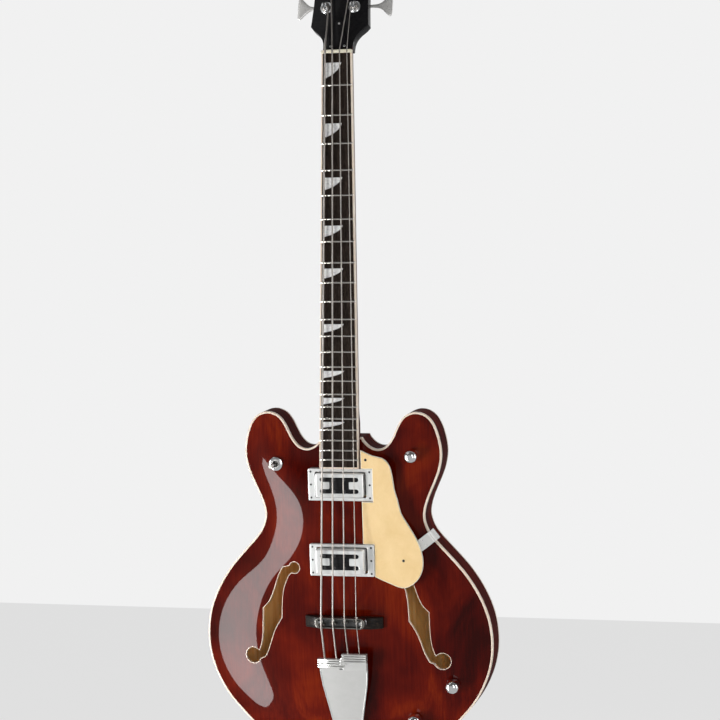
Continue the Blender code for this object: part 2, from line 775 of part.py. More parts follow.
def build_neck(neck, head, body, over_top):
    """Neck, heel, headstock and the tongue over the body, in one piece of wood."""
    seat = NECK_SEAT - CLEARANCE
    heel_start = BODY_JOIN + NECK_SEAT - HEEL_LENGTH
    loops = []
    stations = [-THROAT_LENGTH, -NUT_THICKNESS] + [heel_start * quarter / 4 for quarter in range(5)]
    for below in stations:
        share = max(0, below / heel_start)
        drop = max(0, -below - NUT_THICKNESS) * math.tan(HEAD_ANGLE * THROAT_SLOPE)
        depth = NECK_DEPTH_AT_NUT + (NECK_DEPTH_AT_HEEL - NECK_DEPTH_AT_NUT) * share - drop * 0.5
        half = board_half(max(0, below)) - CLEARANCE - drop * 0.2
        loops.append([Vector((x, y, -below)) for x, y in neck_section(half, depth, NUT_SHELF + drop)])
    thin, thick = loops[-1], heel_section(seat - HEEL_FLAT)
    for share, bulge in HEEL_SWELL:
        loop = []
        for near, far in zip(thin, thick):
            point = near.lerp(far, share)
            point.y = near.y + (far.y - near.y) * bulge
            loop.append(point)
        loops.append(loop)
    loops += [thick, heel_section(seat)]
    shaft = skin("neck", loops, neck, "wine_lacquer")

    join(shaft, slab("headstock_blank", head_outline(), 0, HEAD_THICKNESS, head, "black_lacquer"))
    join(shaft, tongue_blank(neck))
    cut(shaft, over_top)
    cut(shaft, slab("space_over_rim", OUTLINE, -CLEARANCE, RIM_DEPTH / 2, body, "bare_wood"))
    rod = TRUSS_ROD_RADIUS + CLEARANCE
    channel_floor = NUT_SHELF + TRUSS_ROD_DEPTH + rod
    channel_end = TRUSS_ROD_LENGTH + CLEARANCE
    pocket_end = NUT_THICKNESS + TRUSS_POCKET_LENGTH
    low, high = (-rod, 0, -channel_end), (rod, channel_floor, pocket_end)
    cut(shaft, block("rod_channel", low, high, neck, "bare_wood"))
    pocket = TRUSS_NUT_RADIUS + 2 * CLEARANCE
    pocket_floor = NUT_SHELF + TRUSS_ROD_DEPTH + pocket
    low, high = (-pocket, 0, NUT_THICKNESS), (pocket, pocket_floor, pocket_end)
    cut(shaft, block("rod_pocket", low, high, neck, "bare_wood"))
    for side, rise in TUNERS.values():
        hole = [(BUSHING_RADIUS + CLEARANCE, -0.01), (BUSHING_RADIUS + CLEARANCE, HEAD_THICKNESS + 0.01)]
        place = (side * TUNER_SPREAD / 2, 0, rise)
        cut(shaft, turned(f"tuner_hole_{side}_{rise:.3f}", hole, place, "y", head, "bare_wood", 12))


def tongue_blank(neck):
    """The part of the neck that runs on under the fingerboard, over the body's top."""
    start, end = BODY_JOIN + NECK_SEAT - TONGUE_LAP, BOARD_LENGTH - BOARD_BINDING
    loops = []
    for below in (start, end):
        half = board_half(below) - BOARD_BINDING
        gap = -(BODY_FROM_NECK @ Vector((0, NUT_SHELF, -below))).y
        depth = NUT_SHELF + gap * (1 if below == start else 1.6)
        corners = ((half, NUT_SHELF), (-half, NUT_SHELF), (-half, depth), (half, depth))
        loops.append([(x, y, -below) for x, y in corners])
    return skin("tongue_blank", loops, neck, "wine_lacquer")


def head_outline():
    """The headstock's face: a concave flare off the nut, nearly straight sides and a crowned top."""
    nut, corner, rise = NUT_WIDTH / 2 - CLEARANCE, HEAD_CORNER_WIDTH / 2, HEAD_CORNER_RISE
    flare = through([
        Vector(p) for p in (
            (nut, 0.0), (nut + 0.0006, rise - 0.026), (nut + 0.0035, rise - 0.018),
            (corner - 0.0110, rise - 0.011), (corner - 0.0045, rise - 0.0055), (corner, rise),
        )
    ])
    side = through([
        Vector(p) for p in (
            (corner, rise), (corner - 0.0005, rise + 0.0035),
            (HEAD_WAIST_WIDTH / 2, FIRST_TUNER + TUNER_PITCH / 2),
            (HEAD_TOP_WIDTH / 2, HEAD_LENGTH - 0.016), (HEAD_TOP_WIDTH / 2 - 0.005, HEAD_LENGTH - 0.005),
            (HEAD_TOP_WIDTH / 4, HEAD_LENGTH - 0.001), (0, HEAD_LENGTH - 0.006),
        )
    ])
    half = flare[:-1] + side
    return half + mirrored(half[:-1])


def build_board(neck):
    """The fingerboard with its frets, its binding, the nut and the truss rod."""
    end = BOARD_LENGTH - BOARD_BINDING
    profile = [(BOARD_THICKNESS, 0), (0, 0)]
    for fret in range(1, FRET_COUNT + 1):
        below = fret_place(fret)
        crown = FRET_CROWN
        for height, offset in ((0, -1), (FRET_HEIGHT, -crown), (FRET_HEIGHT, crown), (0, 1)):
            profile.append((-height, below + FRET_WIDTH / 2 * offset))
    profile += [(0, end - CLEARANCE), (BOARD_THICKNESS, end - CLEARANCE)]
    sides = []
    for sign in (-1, 1):
        inner = BOARD_BINDING + CLEARANCE
        sides.append([(sign * (board_half(below) - inner), y, -below) for y, below in profile])
    skin("fingerboard", sides, neck, "rosewood")

    def edge(inner, last):
        return [Vector((board_half(below) - inner, -below)) for below in (0, last)]

    outer, inner = edge(0, BOARD_LENGTH), edge(BOARD_BINDING, end)
    trim = outer + mirrored(outer) + [Vector((-p.x, p.y)) for p in inner] + inner[::-1]
    slab("fingerboard_binding", trim, 0, BOARD_THICKNESS, neck, "cream_plastic")

    nut_start = NUT_THICKNESS + TRUSS_NUT_GAP
    rod = [
        (TRUSS_ROD_RADIUS, -TRUSS_ROD_LENGTH), (TRUSS_ROD_RADIUS, nut_start),
        (TRUSS_NUT_RADIUS, nut_start), (TRUSS_NUT_RADIUS, nut_start + TRUSS_NUT_LENGTH),
    ]
    turned("truss_rod", rod, (0, NUT_SHELF + TRUSS_ROD_DEPTH, 0), "z", neck, "nickel_steel", 8)


def string_x(index, spacing):
    return (index - (len(STRINGS) - 1) / 2) * spacing


def build_nut(neck):
    """The nut, with a slot for each string."""
    half = NUT_WIDTH / 2
    outline = [(half, BOARD_THICKNESS), (-half, BOARD_THICKNESS)]
    outline.append((-half, -NUT_ACTION - NUT_SHOULDER))
    for index, (_, gauge, _) in enumerate(STRINGS):
        x, reach = string_x(index, NUT_SPACING), gauge / 2 + CLEARANCE
        crown = -NUT_ACTION - gauge * NUT_CROWN
        floor = -NUT_ACTION + CLEARANCE
        outline += [(x - reach - NUT_SLOT_SIDE, crown), (x - reach, crown), (x - reach, floor)]
        outline += [(x + reach, floor), (x + reach, crown), (x + reach + NUT_SLOT_SIDE, crown)]
    outline.append((half, -NUT_ACTION - NUT_SHOULDER / 2))
    loops = [[(x, y, z) for x, y in outline] for z in (CLEARANCE, NUT_THICKNESS - CLEARANCE)]
    skin("nut", loops, neck, "bone")


def build_truss_cover(head):
    """The bell-shaped cover on the headstock's face."""
    half, tip = COVER_WIDTH / 2, COVER_WIDTH / 4.4
    rim = through([
        Vector(p) for p in (
            (half, 0.001), (half - 0.0005, 0.009), (half - 0.0040, 0.018), (tip + 0.0005, 0.027),
            (tip, COVER_LENGTH - 0.005), (tip - 0.003, COVER_LENGTH - 0.001), (0, COVER_LENGTH),
        )
    ])
    outline = rim + mirrored(rim[:-1])
    slab("truss_rod_cover", outline, -COVER_THICKNESS - CLEARANCE, -CLEARANCE, head, "black_plastic")


# Tuners

TUNERS = {
    "bass_lower": (-1, FIRST_TUNER),
    "bass_upper": (-1, FIRST_TUNER + TUNER_PITCH),
    "treble_lower": (1, FIRST_TUNER),
    "treble_upper": (1, FIRST_TUNER + TUNER_PITCH),
}
WORM_RISE = GEAR_RADIUS + WORM_RADIUS + CLEARANCE
GEAR_FRONT = HEAD_THICKNESS + GEAR_STANDOFF
WORM_AXIS = GEAR_FRONT + GEAR_THICKNESS / 2


def build_tuner(label, side, rise, head):
    """One tuner: bushing, post with its gear, housing, and key with its worm."""
    x = side * TUNER_SPREAD / 2
    bore = POST_RADIUS + CLEARANCE
    bushing = [
        (bore, -BUSHING_FLANGE - CLEARANCE), (BUSHING_FLANGE_RADIUS, -BUSHING_FLANGE - CLEARANCE),
        (BUSHING_FLANGE_RADIUS, -CLEARANCE), (BUSHING_RADIUS, -CLEARANCE),
        (BUSHING_RADIUS, BUSHING_DEPTH), (bore, BUSHING_DEPTH),
    ]
    turned(f"tuner_bushing_{label}", bushing, (x, 0, rise), "y", head, "chrome", 12, ring=True)

    gear_back = GEAR_FRONT + GEAR_THICKNESS
    waist = POST_HEIGHT - POST_WAIST_END
    post = [
        (GEAR_RADIUS, gear_back), (GEAR_RADIUS, GEAR_FRONT), (POST_RADIUS, GEAR_FRONT),
        (POST_RADIUS, -waist), (POST_WAIST_RADIUS, -waist - 4 * CLEARANCE),
        (POST_WAIST_RADIUS, -POST_HEIGHT + POST_WAIST_TOP),
        (POST_RADIUS, -POST_HEIGHT + POST_WAIST_TOP * 0.75), (POST_RADIUS, -POST_HEIGHT),
    ]
    capstan = turned(f"tuner_post_{label}", post, (x, 0, rise), "y", head, "chrome", 12)
    slot_low = (x - POST_SLOT / 2, -POST_HEIGHT - 0.001, rise - GEAR_RADIUS * 2)
    slot_high = (x + POST_SLOT / 2, -POST_HEIGHT + POST_SLOT_DEPTH, rise + GEAR_RADIUS * 2)
    cut(capstan, block(f"post_slot_{label}", slot_low, slot_high, head, "chrome"))

    inner_x = GEAR_RADIUS + 2 * CLEARANCE
    worm_end = WORM_LENGTH / 2
    reach = max(inner_x, worm_end + CLEARANCE)
    low = rise - GEAR_RADIUS - 2 * CLEARANCE
    high = rise + WORM_RISE + WORM_RADIUS + 2 * CLEARANCE
    deep = max(gear_back, WORM_AXIS + WORM_RADIUS) + 2 * CLEARANCE
    front = HEAD_THICKNESS + CLEARANCE
    wall = HOUSING_WALL
    housing = block(
        f"tuner_housing_{label}", (x - reach - wall, front, low - wall),
        (x + reach + wall, deep + wall, high + wall), head, "chrome",
    )
    low_corner, high_corner = (x - reach, front - wall, low), (x + reach, deep, high)
    cut(housing, block(f"housing_hollow_{label}", low_corner, high_corner, head, "chrome"))
    opening = KEY_SHAFT_RADIUS + CLEARANCE
    exit_bore = [(opening, 0), (opening, side * (reach + 2 * wall))]
    worm_line = (x, WORM_AXIS, rise + WORM_RISE)
    cut(housing, turned(f"shaft_bore_{label}", exit_bore, worm_line, "x", head, "chrome", 10))

    sections = [(-worm_end, WORM_RADIUS, WORM_RADIUS), (worm_end, WORM_RADIUS, WORM_RADIUS)]
    sections += [(along, KEY_SHAFT_RADIUS, KEY_SHAFT_RADIUS) for along in (worm_end, KEY_REACH - 0.004)]
    for share, width in KEY_FAN:
        thick = KEY_THICKNESS / 2 * (0.8 if share < 0.3 else 1)
        sections.append((KEY_REACH + KEY_LENGTH * share, thick, KEY_WIDTH / 2 * width))
    loops = []
    for along, thick, wide in sections:
        loop = []
        for k in range(8):
            a = math.pi * (k + 0.5) / 4
            loop.append(Vector(worm_line) + Vector((side * along, thick * math.cos(a), wide * math.sin(a))))
        loops.append(loop)
    skin(f"tuner_key_{label}", loops, head, "chrome")


# Strings


def build_strings(neck):
    """Each string from the tailpiece over its saddle and the nut to its tuner post."""
    for index, (name, gauge, tuner) in enumerate(STRINGS):
        radius = gauge / 2
        at_nut, at_bridge = string_x(index, NUT_SPACING), string_x(index, BRIDGE_SPACING)
        saddle = SCALE_LENGTH + SADDLE_SETBACKS[index]
        side, rise = TUNERS[tuner]
        off_post = POST_WAIST_RADIUS + radius + CLEARANCE
        wrap_depth = -POST_HEIGHT + WRAP_BELOW_TOP
        post_point = NECK_FROM_HEAD @ Vector((side * (TUNER_SPREAD / 2 - off_post), wrap_depth, rise))
        anchor = anchor_place(index)
        tail = NECK_FROM_BODY @ Vector((at_bridge, -ANCHOR_FRONT, -anchor + ANCHOR_RADIUS + 2 * CLEARANCE))
        route = [
            tail,
            Vector((at_bridge, -BRIDGE_ACTION - radius, -saddle)),
            Vector((at_nut, -NUT_ACTION - radius, NUT_THICKNESS)),
            post_point,
        ]
        curve = bpy.data.curves.new(name, "CURVE")
        curve.dimensions = "3D"
        curve.bevel_depth = radius
        curve.bevel_resolution = 2
        curve.use_fill_caps = True
        spline = curve.splines.new("POLY")
        stops = []
        for start, end in zip(route, route[1:]):
            stops += [start, start.lerp(end, 0.02), start.lerp(end, 0.98)]
        stops = [stops[0]] + stops[2:] + [route[-1]]
        spline.points.add(len(stops) - 1)
        for point, stop in zip(spline.points, stops):
            point.co = (*stop, 1)
        curve.materials.append(finish("nickel_steel"))
        string = bpy.data.objects.new(name, curve)
        string.parent = neck
        bpy.context.collection.objects.link(string)


# Pickups


def window_outline(centre_z, grow=0.0):
    """The H-shaped opening in a pickup's cover: four round-ended arms off a wide middle."""
    arm = WINDOW_ARM / 2
    end_x, arm_z = WINDOW_WIDTH / 2 - arm, WINDOW_LENGTH / 2 - arm
    waist = WINDOW_WAIST / 2
    corner = arc((end_x, arm_z), arm + grow, 90, -90, 4)
    quarter = corner + [Vector((waist + grow, arm_z - arm - grow))]
    right = quarter + [Vector((p.x, -p.y)) for p in reversed(quarter)]
    loop = right + [Vector((-p.x, -p.y)) for p in right]
    return [Vector((p.x, p.y + centre_z)) for p in loop]


def build_pickup(which, body, over_top):
    """Mounting ring, plated cover with its window, and the black coil former with eight poles."""
    z = -pickup_centre(which)
    ring_front = -RING_HEIGHTS[which]
    outer = rounded_box(RING_WIDTH, RING_LENGTH, RING_CORNER, (0, z))
    opening = PICKUP_WIDTH + 4 * PICKUP_GAP, PICKUP_LENGTH + 2 * PICKUP_GAP
    inner = rounded_box(*opening, RING_CORNER, (0, z))
    ring = hoop(f"pickup_ring_{which}", outer, inner, ring_front, 0, body, "chrome")
    cut(ring, over_top)

    upper_edge = PICKUP_PLACES[which] - PICKUP_LENGTH / 2
    string_line = NUT_ACTION + (BRIDGE_ACTION - NUT_ACTION) * upper_edge / SCALE_LENGTH
    cover_front = (BODY_FROM_NECK @ Vector((0, -string_line, -upper_edge))).y + STRING_GAP
    cover = slab(
        f"pickup_cover_{which}", rounded_box(PICKUP_WIDTH, PICKUP_LENGTH, COVER_CORNER, (0, z)),
        cover_front, CAVITY_FLOOR - COVER_SKIRT, body, "chrome",
    )
    bore_size = PICKUP_WIDTH - 2 * COVER_WALL, PICKUP_LENGTH - 2 * COVER_WALL
    bore = rounded_box(*bore_size, COVER_CORNER - COVER_WALL, (0, z))
    cut(cover, slab(f"cover_bore_{which}", bore, cover_front + COVER_WALL, RIM_DEPTH, body, "chrome"))
    cut(cover, slab(f"cover_window_{which}", window_outline(z), cover_front - 0.01, 0, body, "chrome"))

    gap = COVER_WALL + CLEARANCE
    former = slab(
        f"pickup_coil_{which}",
        rounded_box(PICKUP_WIDTH - 2 * gap, PICKUP_LENGTH - 2 * gap, COVER_CORNER - gap, (0, z)),
        cover_front + gap, CAVITY_FLOOR - CLEARANCE, body, "black_plastic",
    )
    face = cover_front + CLEARANCE
    raised = window_outline(z, -CLEARANCE)
    join(former, slab(f"coil_face_{which}", raised, face, cover_front + 0.004, body, "black_plastic"))
    for row in (-0.5, 0.5):
        for index in range(len(STRINGS)):
            place = (string_x(index, POLE_SPACING), 0, z + row * POLE_ROWS)
            pole = [(POLE_RADIUS, face - POLE_RISE), (POLE_RADIUS, face + 0.002)]
            join(former, turned(f"pole_{which}_{row}_{index}", pole, place, "y", body, "nickel_steel", 8))


# Pickguard


def build_guard(body, over_top):
    """The pickguard, cut round the pickup rings, with the spacer that its upper screw goes through."""
    ring_edge = RING_WIDTH / 2 + CLEARANCE
    first = pickup_centre("neck") - RING_LENGTH / 2
    last = pickup_centre("bridge") + RING_LENGTH / 2

    def place(x, share):
        return x, first + (last - first) * share

    free_edge = [place(GUARD_NECK_EDGE, GUARD_TOP)] + [place(*point) for point in GUARD_CURVE]
    tail = []
    for which in PICKUP_PLACES:
        centre = pickup_centre(which)
        upper, lower = centre - RING_LENGTH / 2 - CLEARANCE, centre + RING_LENGTH / 2 + CLEARANCE
        tail += [(GUARD_NECK_EDGE, upper), (ring_edge, upper), (ring_edge, lower), (GUARD_NECK_EDGE, lower)]
    tail.pop()
    curve = through(down([*free_edge, tail[-1]]))
    outline = curve + down(reversed(tail[:-1]))
    back = -GUARD_FRONT + GUARD_THICKNESS
    guard = slab("pickguard", outline, -GUARD_FRONT, back, body, "cream_plastic")
    x, below = place(*GUARD_SPACER)
    spacer = [(GUARD_SPACER_RADIUS, back - GUARD_THICKNESS / 2), (GUARD_SPACER_RADIUS, 0)]
    post = turned("guard_spacer", spacer, (x, 0, -below), "y", body, "cream_plastic", 10)
    join(guard, cut(post, over_top))


def edge_at(below):
    """The point of the treble outline at a distance below the horns, with its outward direction."""
    half = through(down(BODY_HALF))
    for a, b in zip(half, half[1:]):
        if a.y <= -below <= b.y:
            point = a.lerp(b, (-below - a.y) / (b.y - a.y))
            along = (b - a).normalized()
            return point, Vector((along.y, -along.x))
    return half[0], Vector((1, 0))


def build_bracket(body):
    """The bent strip that holds the pickguard's edge: under the guard, over the binding, down the rim."""
    point, outward = edge_at(BRACKET_PLACE)
    across = Vector((-outward.y, outward.x))
    front = -GUARD_FRONT + GUARD_THICKNESS + CLEARANCE
    beside = [sample - point for sample, _ in EDGE_SAMPLES if (sample - point).length < BRACKET_WIDTH]
    gap = max(offset.dot(outward) for offset in beside) + 2 * CLEARANCE
    t = BRACKET_THICKNESS
    bend = [
        (-BRACKET_REACH, front), (gap + t, front), (gap + t, BRACKET_LEG),
        (gap, BRACKET_LEG), (gap, front + t), (-BRACKET_REACH, front + t),
    ]
    loops = []
    for side in (-0.5, 0.5):
        base = point + across * side * BRACKET_WIDTH
        loops.append([(base.x + outward.x * n, y, base.y + outward.y * n) for n, y in bend])
    skin("pickguard_bracket", loops, body, "chrome")


# Bridge and tailpiece


def build_bridge(body, over_top):
    """Wooden base, a thumbwheel on its post at each end, and the bar with four saddles."""
    middle = sum(SADDLE_SETBACKS) / len(SADDLE_SETBACKS) + BAR_SHIFT
    line = BODY_FROM_NECK @ Vector((0, -BRIDGE_ACTION, -SCALE_LENGTH - middle))
    string_y, z = line.y, line.z
    half, foot = BRIDGE_BASE_WIDTH / 2, BRIDGE_FOOT
    arch_depth = -TOP_ARCH - BRIDGE_ARCH
    outline = [
        (-half, -BRIDGE_BASE_END), (-half * BRIDGE_SHOULDER, -BRIDGE_BASE_TOP),
        (half * BRIDGE_SHOULDER, -BRIDGE_BASE_TOP), (half, -BRIDGE_BASE_END), (half, 0),
        (half - foot, 0), (half - foot - BRIDGE_ARCH, arch_depth),
        (-half + foot + BRIDGE_ARCH, arch_depth), (-half + foot, 0), (-half, 0),
    ]
    length = BRIDGE_BASE_LENGTH / 2
    base_z = z - BRIDGE_BASE_SHIFT
    faces = [[(x, y, base_z + side) for x, y in outline] for side in (-length, length)]
    base = skin("bridge_base", faces, body, "ebony")
    cut(base, over_top)

    bar_front = string_y + SADDLE_RISE
    bar_back = bar_front + BAR_HEIGHT
    bar_outline = rounded_box(BAR_WIDTH, BAR_LENGTH, BAR_LENGTH * BAR_ROUND, (0, z), 3)
    bar = slab("bridge_bar", bar_outline, bar_front, bar_back, body, "chrome")
    recess_size = BAR_WIDTH - 2 * BAR_END_WALL, BAR_LENGTH - 2 * BAR_SIDE_WALL
    recess = rounded_box(*recess_size, BAR_SIDE_WALL, (0, z), 1)
    cut(bar, slab("bar_recess", recess, bar_front - 0.01, bar_front + BAR_RECESS, body, "chrome"))
    for index, (name, _, _) in enumerate(STRINGS):
        x = string_x(index, BRIDGE_SPACING)
        crest = Vector((x, -BRIDGE_ACTION + CLEARANCE, -SCALE_LENGTH - SADDLE_SETBACKS[index]))
        top = BODY_FROM_NECK @ crest
        shoulder, floor, reach = top.y + SADDLE_RISE / 2, bar_front + BAR_RECESS + 0.001, SADDLE_LENGTH / 2
        ridge = ((top.y, 0), (shoulder, reach), (floor, reach), (floor, -reach), (shoulder, -reach))
        half_width = SADDLE_WIDTH / 2
        ends = [[(x + side, y, top.z + along) for y, along in ridge] for side in (-half_width, half_width)]
        join(bar, skin(f"saddle_{name}", ends, body, "chrome"))

    wheel_front = bar_back + CLEARANCE
    for label, sign in (("bass", -1), ("treble", 1)):
        place = (sign * WHEEL_SPREAD / 2, 0, z)
        tip = bar_front + BAR_RECESS + 0.0012
        heel = -BRIDGE_BASE_TOP + WHEEL_POST_SINK
        profile = [
            (WHEEL_POST_RADIUS, tip), (WHEEL_POST_RADIUS, wheel_front), (WHEEL_RADIUS, wheel_front),
            (WHEEL_RADIUS, wheel_front + WHEEL_THICKNESS), (WHEEL_POST_RADIUS, wheel_front + WHEEL_THICKNESS),
            (WHEEL_POST_RADIUS, heel),
        ]
        turned(f"bridge_wheel_{label}", profile, place, "y", body, "chrome", 14)
        bore = WHEEL_POST_RADIUS + 2 * CLEARANCE
        bar_bore = [(bore, tip - CLEARANCE), (bore, bar_back + 0.002)]
        cut(bar, turned(f"bar_bore_{label}", bar_bore, place, "y", body, "chrome", 10))
        base_bore = [(bore, -BRIDGE_BASE_TOP - 0.002), (bore, heel + CLEARANCE)]
        cut(base, turned(f"base_bore_{label}", base_bore, place, "y", body, "chrome", 10))


def anchor_place(index):
    """The bass pair of strings is anchored lower than the treble pair."""
    return ANCHOR_PLACES[0] if index < len(STRINGS) // 2 else ANCHOR_PLACES[1]


def build_tailpiece(body):
    """The trapeze plate with its stepped anchor bar, and the bracket that holds its foot."""
    tail = BODY_HALF[0][1]
    foot_end = tail - 2 * FOOT_HINGE_RADIUS
    half = down([*TAILPIECE_HALF, (TAILPIECE_HALF[-1][0], foot_end)])
    outline = through(half[:-1]) + [half[-1]]
    outline = outline + mirrored(outline)
    drop = (ANCHOR_FRONT - ANCHOR_RADIUS * 0.6 - TAILPIECE_FOOT) / (foot_end - TAILPIECE_HALF[0][1])

    def front(point):
        return -TAILPIECE_FOOT - drop * (foot_end + point.y)

    loops = [[(p.x, front(p) + y, p.y) for p in outline] for y in (0, TAILPIECE_THICKNESS)]
    plate = skin("tailpiece", loops, body, "chrome")
    width = TAILPIECE_HALF[0][0]
    for label, sign, below in (("bass", -1, ANCHOR_PLACES[0]), ("treble", 1, ANCHOR_PLACES[1])):
        roll = [(ANCHOR_RADIUS, -0.001 * sign), (ANCHOR_RADIUS, sign * width)]
        centre = (0, -ANCHOR_FRONT, -below)
        join(plate, turned(f"anchor_{label}", roll, centre, "x", body, "chrome", 12))
    upper = ANCHOR_PLACES[1]
    bridge_low = (0.0005, -ANCHOR_FRONT, -TAILPIECE_HALF[0][1] - 0.003)
    bridge_high = (width - 0.0005, -ANCHOR_FRONT + TAILPIECE_THICKNESS, -upper)
    join(plate, block("anchor_web", bridge_low, bridge_high, body, "chrome"))

    hinge_z = -(foot_end + CLEARANCE + FOOT_HINGE_RADIUS)
    hinge_y = -TAILPIECE_FOOT + FOOT_HINGE_RADIUS / 2
    outside = -(tail + 2 * CLEARANCE)
    leg_low = (-FOOT_WIDTH / 2, hinge_y, outside - FOOT_THICKNESS)
    leg_high = (FOOT_WIDTH / 2, FOOT_DEPTH, outside)
    bracket = block("tailpiece_bracket", leg_low, leg_high, body, "chrome")
    shelf_low = (-FOOT_WIDTH / 2, hinge_y, outside - FOOT_THICKNESS / 2)
    shelf_high = (FOOT_WIDTH / 2, hinge_y + FOOT_HINGE_RADIUS * 0.8, hinge_z)
    join(bracket, block("foot_shelf", shelf_low, shelf_high, body, "chrome"))
    barrel = [(FOOT_HINGE_RADIUS, -FOOT_WIDTH / 2 + 0.0007), (FOOT_HINGE_RADIUS, FOOT_WIDTH / 2 - 0.0007)]
    join(bracket, turned("foot_barrel", barrel, (0, hinge_y, hinge_z), "x", body, "chrome", 10))
    return outside - FOOT_THICKNESS


def build_button(name, centre, axis, sign, frame):
    """A strap button that stands out from centre along its axis."""
    steps = (
        (BUTTON_RADIUS * 0.86, 0), (BUTTON_RADIUS * 0.86, 0.15), (BUTTON_WAIST_RADIUS, 0.32),
        (BUTTON_WAIST_RADIUS, 0.68), (BUTTON_RADIUS, 0.82), (BUTTON_RADIUS, 1),
    )
    profile = [(radius, sign * BUTTON_LENGTH * share) for radius, share in steps]
    turned(name, profile, centre, axis, frame, "chrome", 14)


# Controls


def highest_near(x, below, radius):
    """The front-most y of the top under a round piece."""
    return fronts_under(x, below, radius)[0]


def inside_near(x, below, radius):
    """The y just clear of the top's inner face, behind a round piece."""
    return fronts_under(x, below, radius)[1] + PLATE_THICKNESS + CLEARANCE


def build_knob(label, place, body):
    """A dome knob on its shaft, and the potentiometer under the top."""
    x, below = place
    top = highest_near(x, below, POT_NUT_RADIUS)
    skirt = highest_near(x, below, KNOB_RADIUS) - KNOB_GAP
    crown = skirt - KNOB_HEIGHT
    under = top - CLEARANCE - POT_NUT_HEIGHT - 2 * CLEARANCE
    inside_top = inside_near(x, below, POT_RADIUS)
    shaft_end = inside_top + POT_HEIGHT * 0.5
    hollow = POT_NUT_RADIUS + 2 * CLEARANCE
    profile = [
        (SHAFT_RADIUS, shaft_end), (SHAFT_RADIUS, under), (hollow, under), (hollow, skirt),
        (KNOB_RADIUS * 0.96, skirt), (KNOB_RADIUS, skirt - KNOB_HEIGHT * 0.12),
        (KNOB_RADIUS * 0.97, skirt - KNOB_HEIGHT * 0.55), (KNOB_RADIUS * 0.86, skirt - KNOB_HEIGHT * 0.80),
        (KNOB_RADIUS * 0.62, skirt - KNOB_HEIGHT * 0.95), (KNOB_RADIUS * 0.30, crown),
    ]
    turned(f"knob_{label}", profile, (x, 0, -below), "y", body, "chrome", 14)

    bore = SHAFT_RADIUS + CLEARANCE
    floor = shaft_end + CLEARANCE
    can = [
        (bore, top - CLEARANCE - POT_NUT_HEIGHT), (POT_NUT_RADIUS, top - CLEARANCE - POT_NUT_HEIGHT),
        (POT_NUT_RADIUS, top - CLEARANCE), (POT_BUSH_RADIUS, top - CLEARANCE), (POT_BUSH_RADIUS, inside_top),
        (POT_RADIUS, inside_top), (POT_RADIUS, inside_top + POT_HEIGHT), (bore, inside_top + POT_HEIGHT),
        (bore * 0.5, inside_top + POT_HEIGHT), (bore * 0.5, floor), (bore, floor),
    ]
    turned(f"pot_{label}", can, (x, 0, -below), "y", body, "nickel_steel", 12, ring=True)


def build_switch(body):
    """The toggle switch on the bass horn: nut, bush with its frame, and lever."""
    x, below = SWITCH_PLACE
    centre = (x, 0, -below)
    top = highest_near(x, below, SWITCH_NUT_RADIUS) - CLEARANCE
    bush = SWITCH_BUSH_RADIUS
    nut_bore = bush + CLEARANCE
    washer = [
        (nut_bore, top), (SWITCH_NUT_RADIUS, top), (SWITCH_NUT_RADIUS * 0.97, top - SWITCH_NUT_HEIGHT * 0.6),
        (SWITCH_NUT_RADIUS * 0.80, top - SWITCH_NUT_HEIGHT), (nut_bore, top - SWITCH_NUT_HEIGHT),
    ]
    turned("toggle_nut", washer, centre, "y", body, "chrome", 16, ring=True)

    inside_top = inside_near(x, below, SWITCH_NUT_RADIUS * 2)
    mouth = top - SWITCH_NUT_HEIGHT - SWITCH_MOUTH_RISE
    wide, tall, deep = SWITCH_FRAME
    frame_low = (x - wide / 2, inside_top, -below - tall / 2)
    frame_high = (x + wide / 2, inside_top + deep, -below + tall / 2)
    case = block("toggle_switch", frame_low, frame_high, body, "nickel_steel")
    bush_line = [(bush, mouth), (bush, inside_top + 0.002)]
    join(case, turned("toggle_bush", bush_line, centre, "y", body, "chrome", 12))
    pivot = mouth + SWITCH_PIVOT_DEPTH
    hollow_end = pivot + SWITCH_BORE_RADIUS + 0.002
    bore = [(SWITCH_BORE_RADIUS, mouth - 0.001), (SWITCH_BORE_RADIUS, hollow_end)]
    cut(case, turned("toggle_bore", bore, centre, "y", body, "chrome", 12))

    ball = SWITCH_BORE_RADIUS - 2 * CLEARANCE
    end = mouth - SWITCH_LEVER_LENGTH
    lever = [
        (ball * 0.4, pivot + ball * 0.92), (ball * 0.88, pivot + ball * 0.5), (ball, pivot),
        (ball * 0.80, pivot - ball * 0.6), (SWITCH_LEVER_RADIUS, pivot - ball * 0.9),
        (SWITCH_LEVER_RADIUS, end + SWITCH_LEVER_LENGTH * 0.50),
        (SWITCH_TIP_RADIUS * 0.8, end + SWITCH_LEVER_LENGTH * 0.46),
        (SWITCH_TIP_RADIUS, end + SWITCH_LEVER_LENGTH * 0.12), (SWITCH_TIP_RADIUS * 0.6, end),
    ]
    turned("toggle_lever", lever, centre, "y", body, "black_plastic", 10)


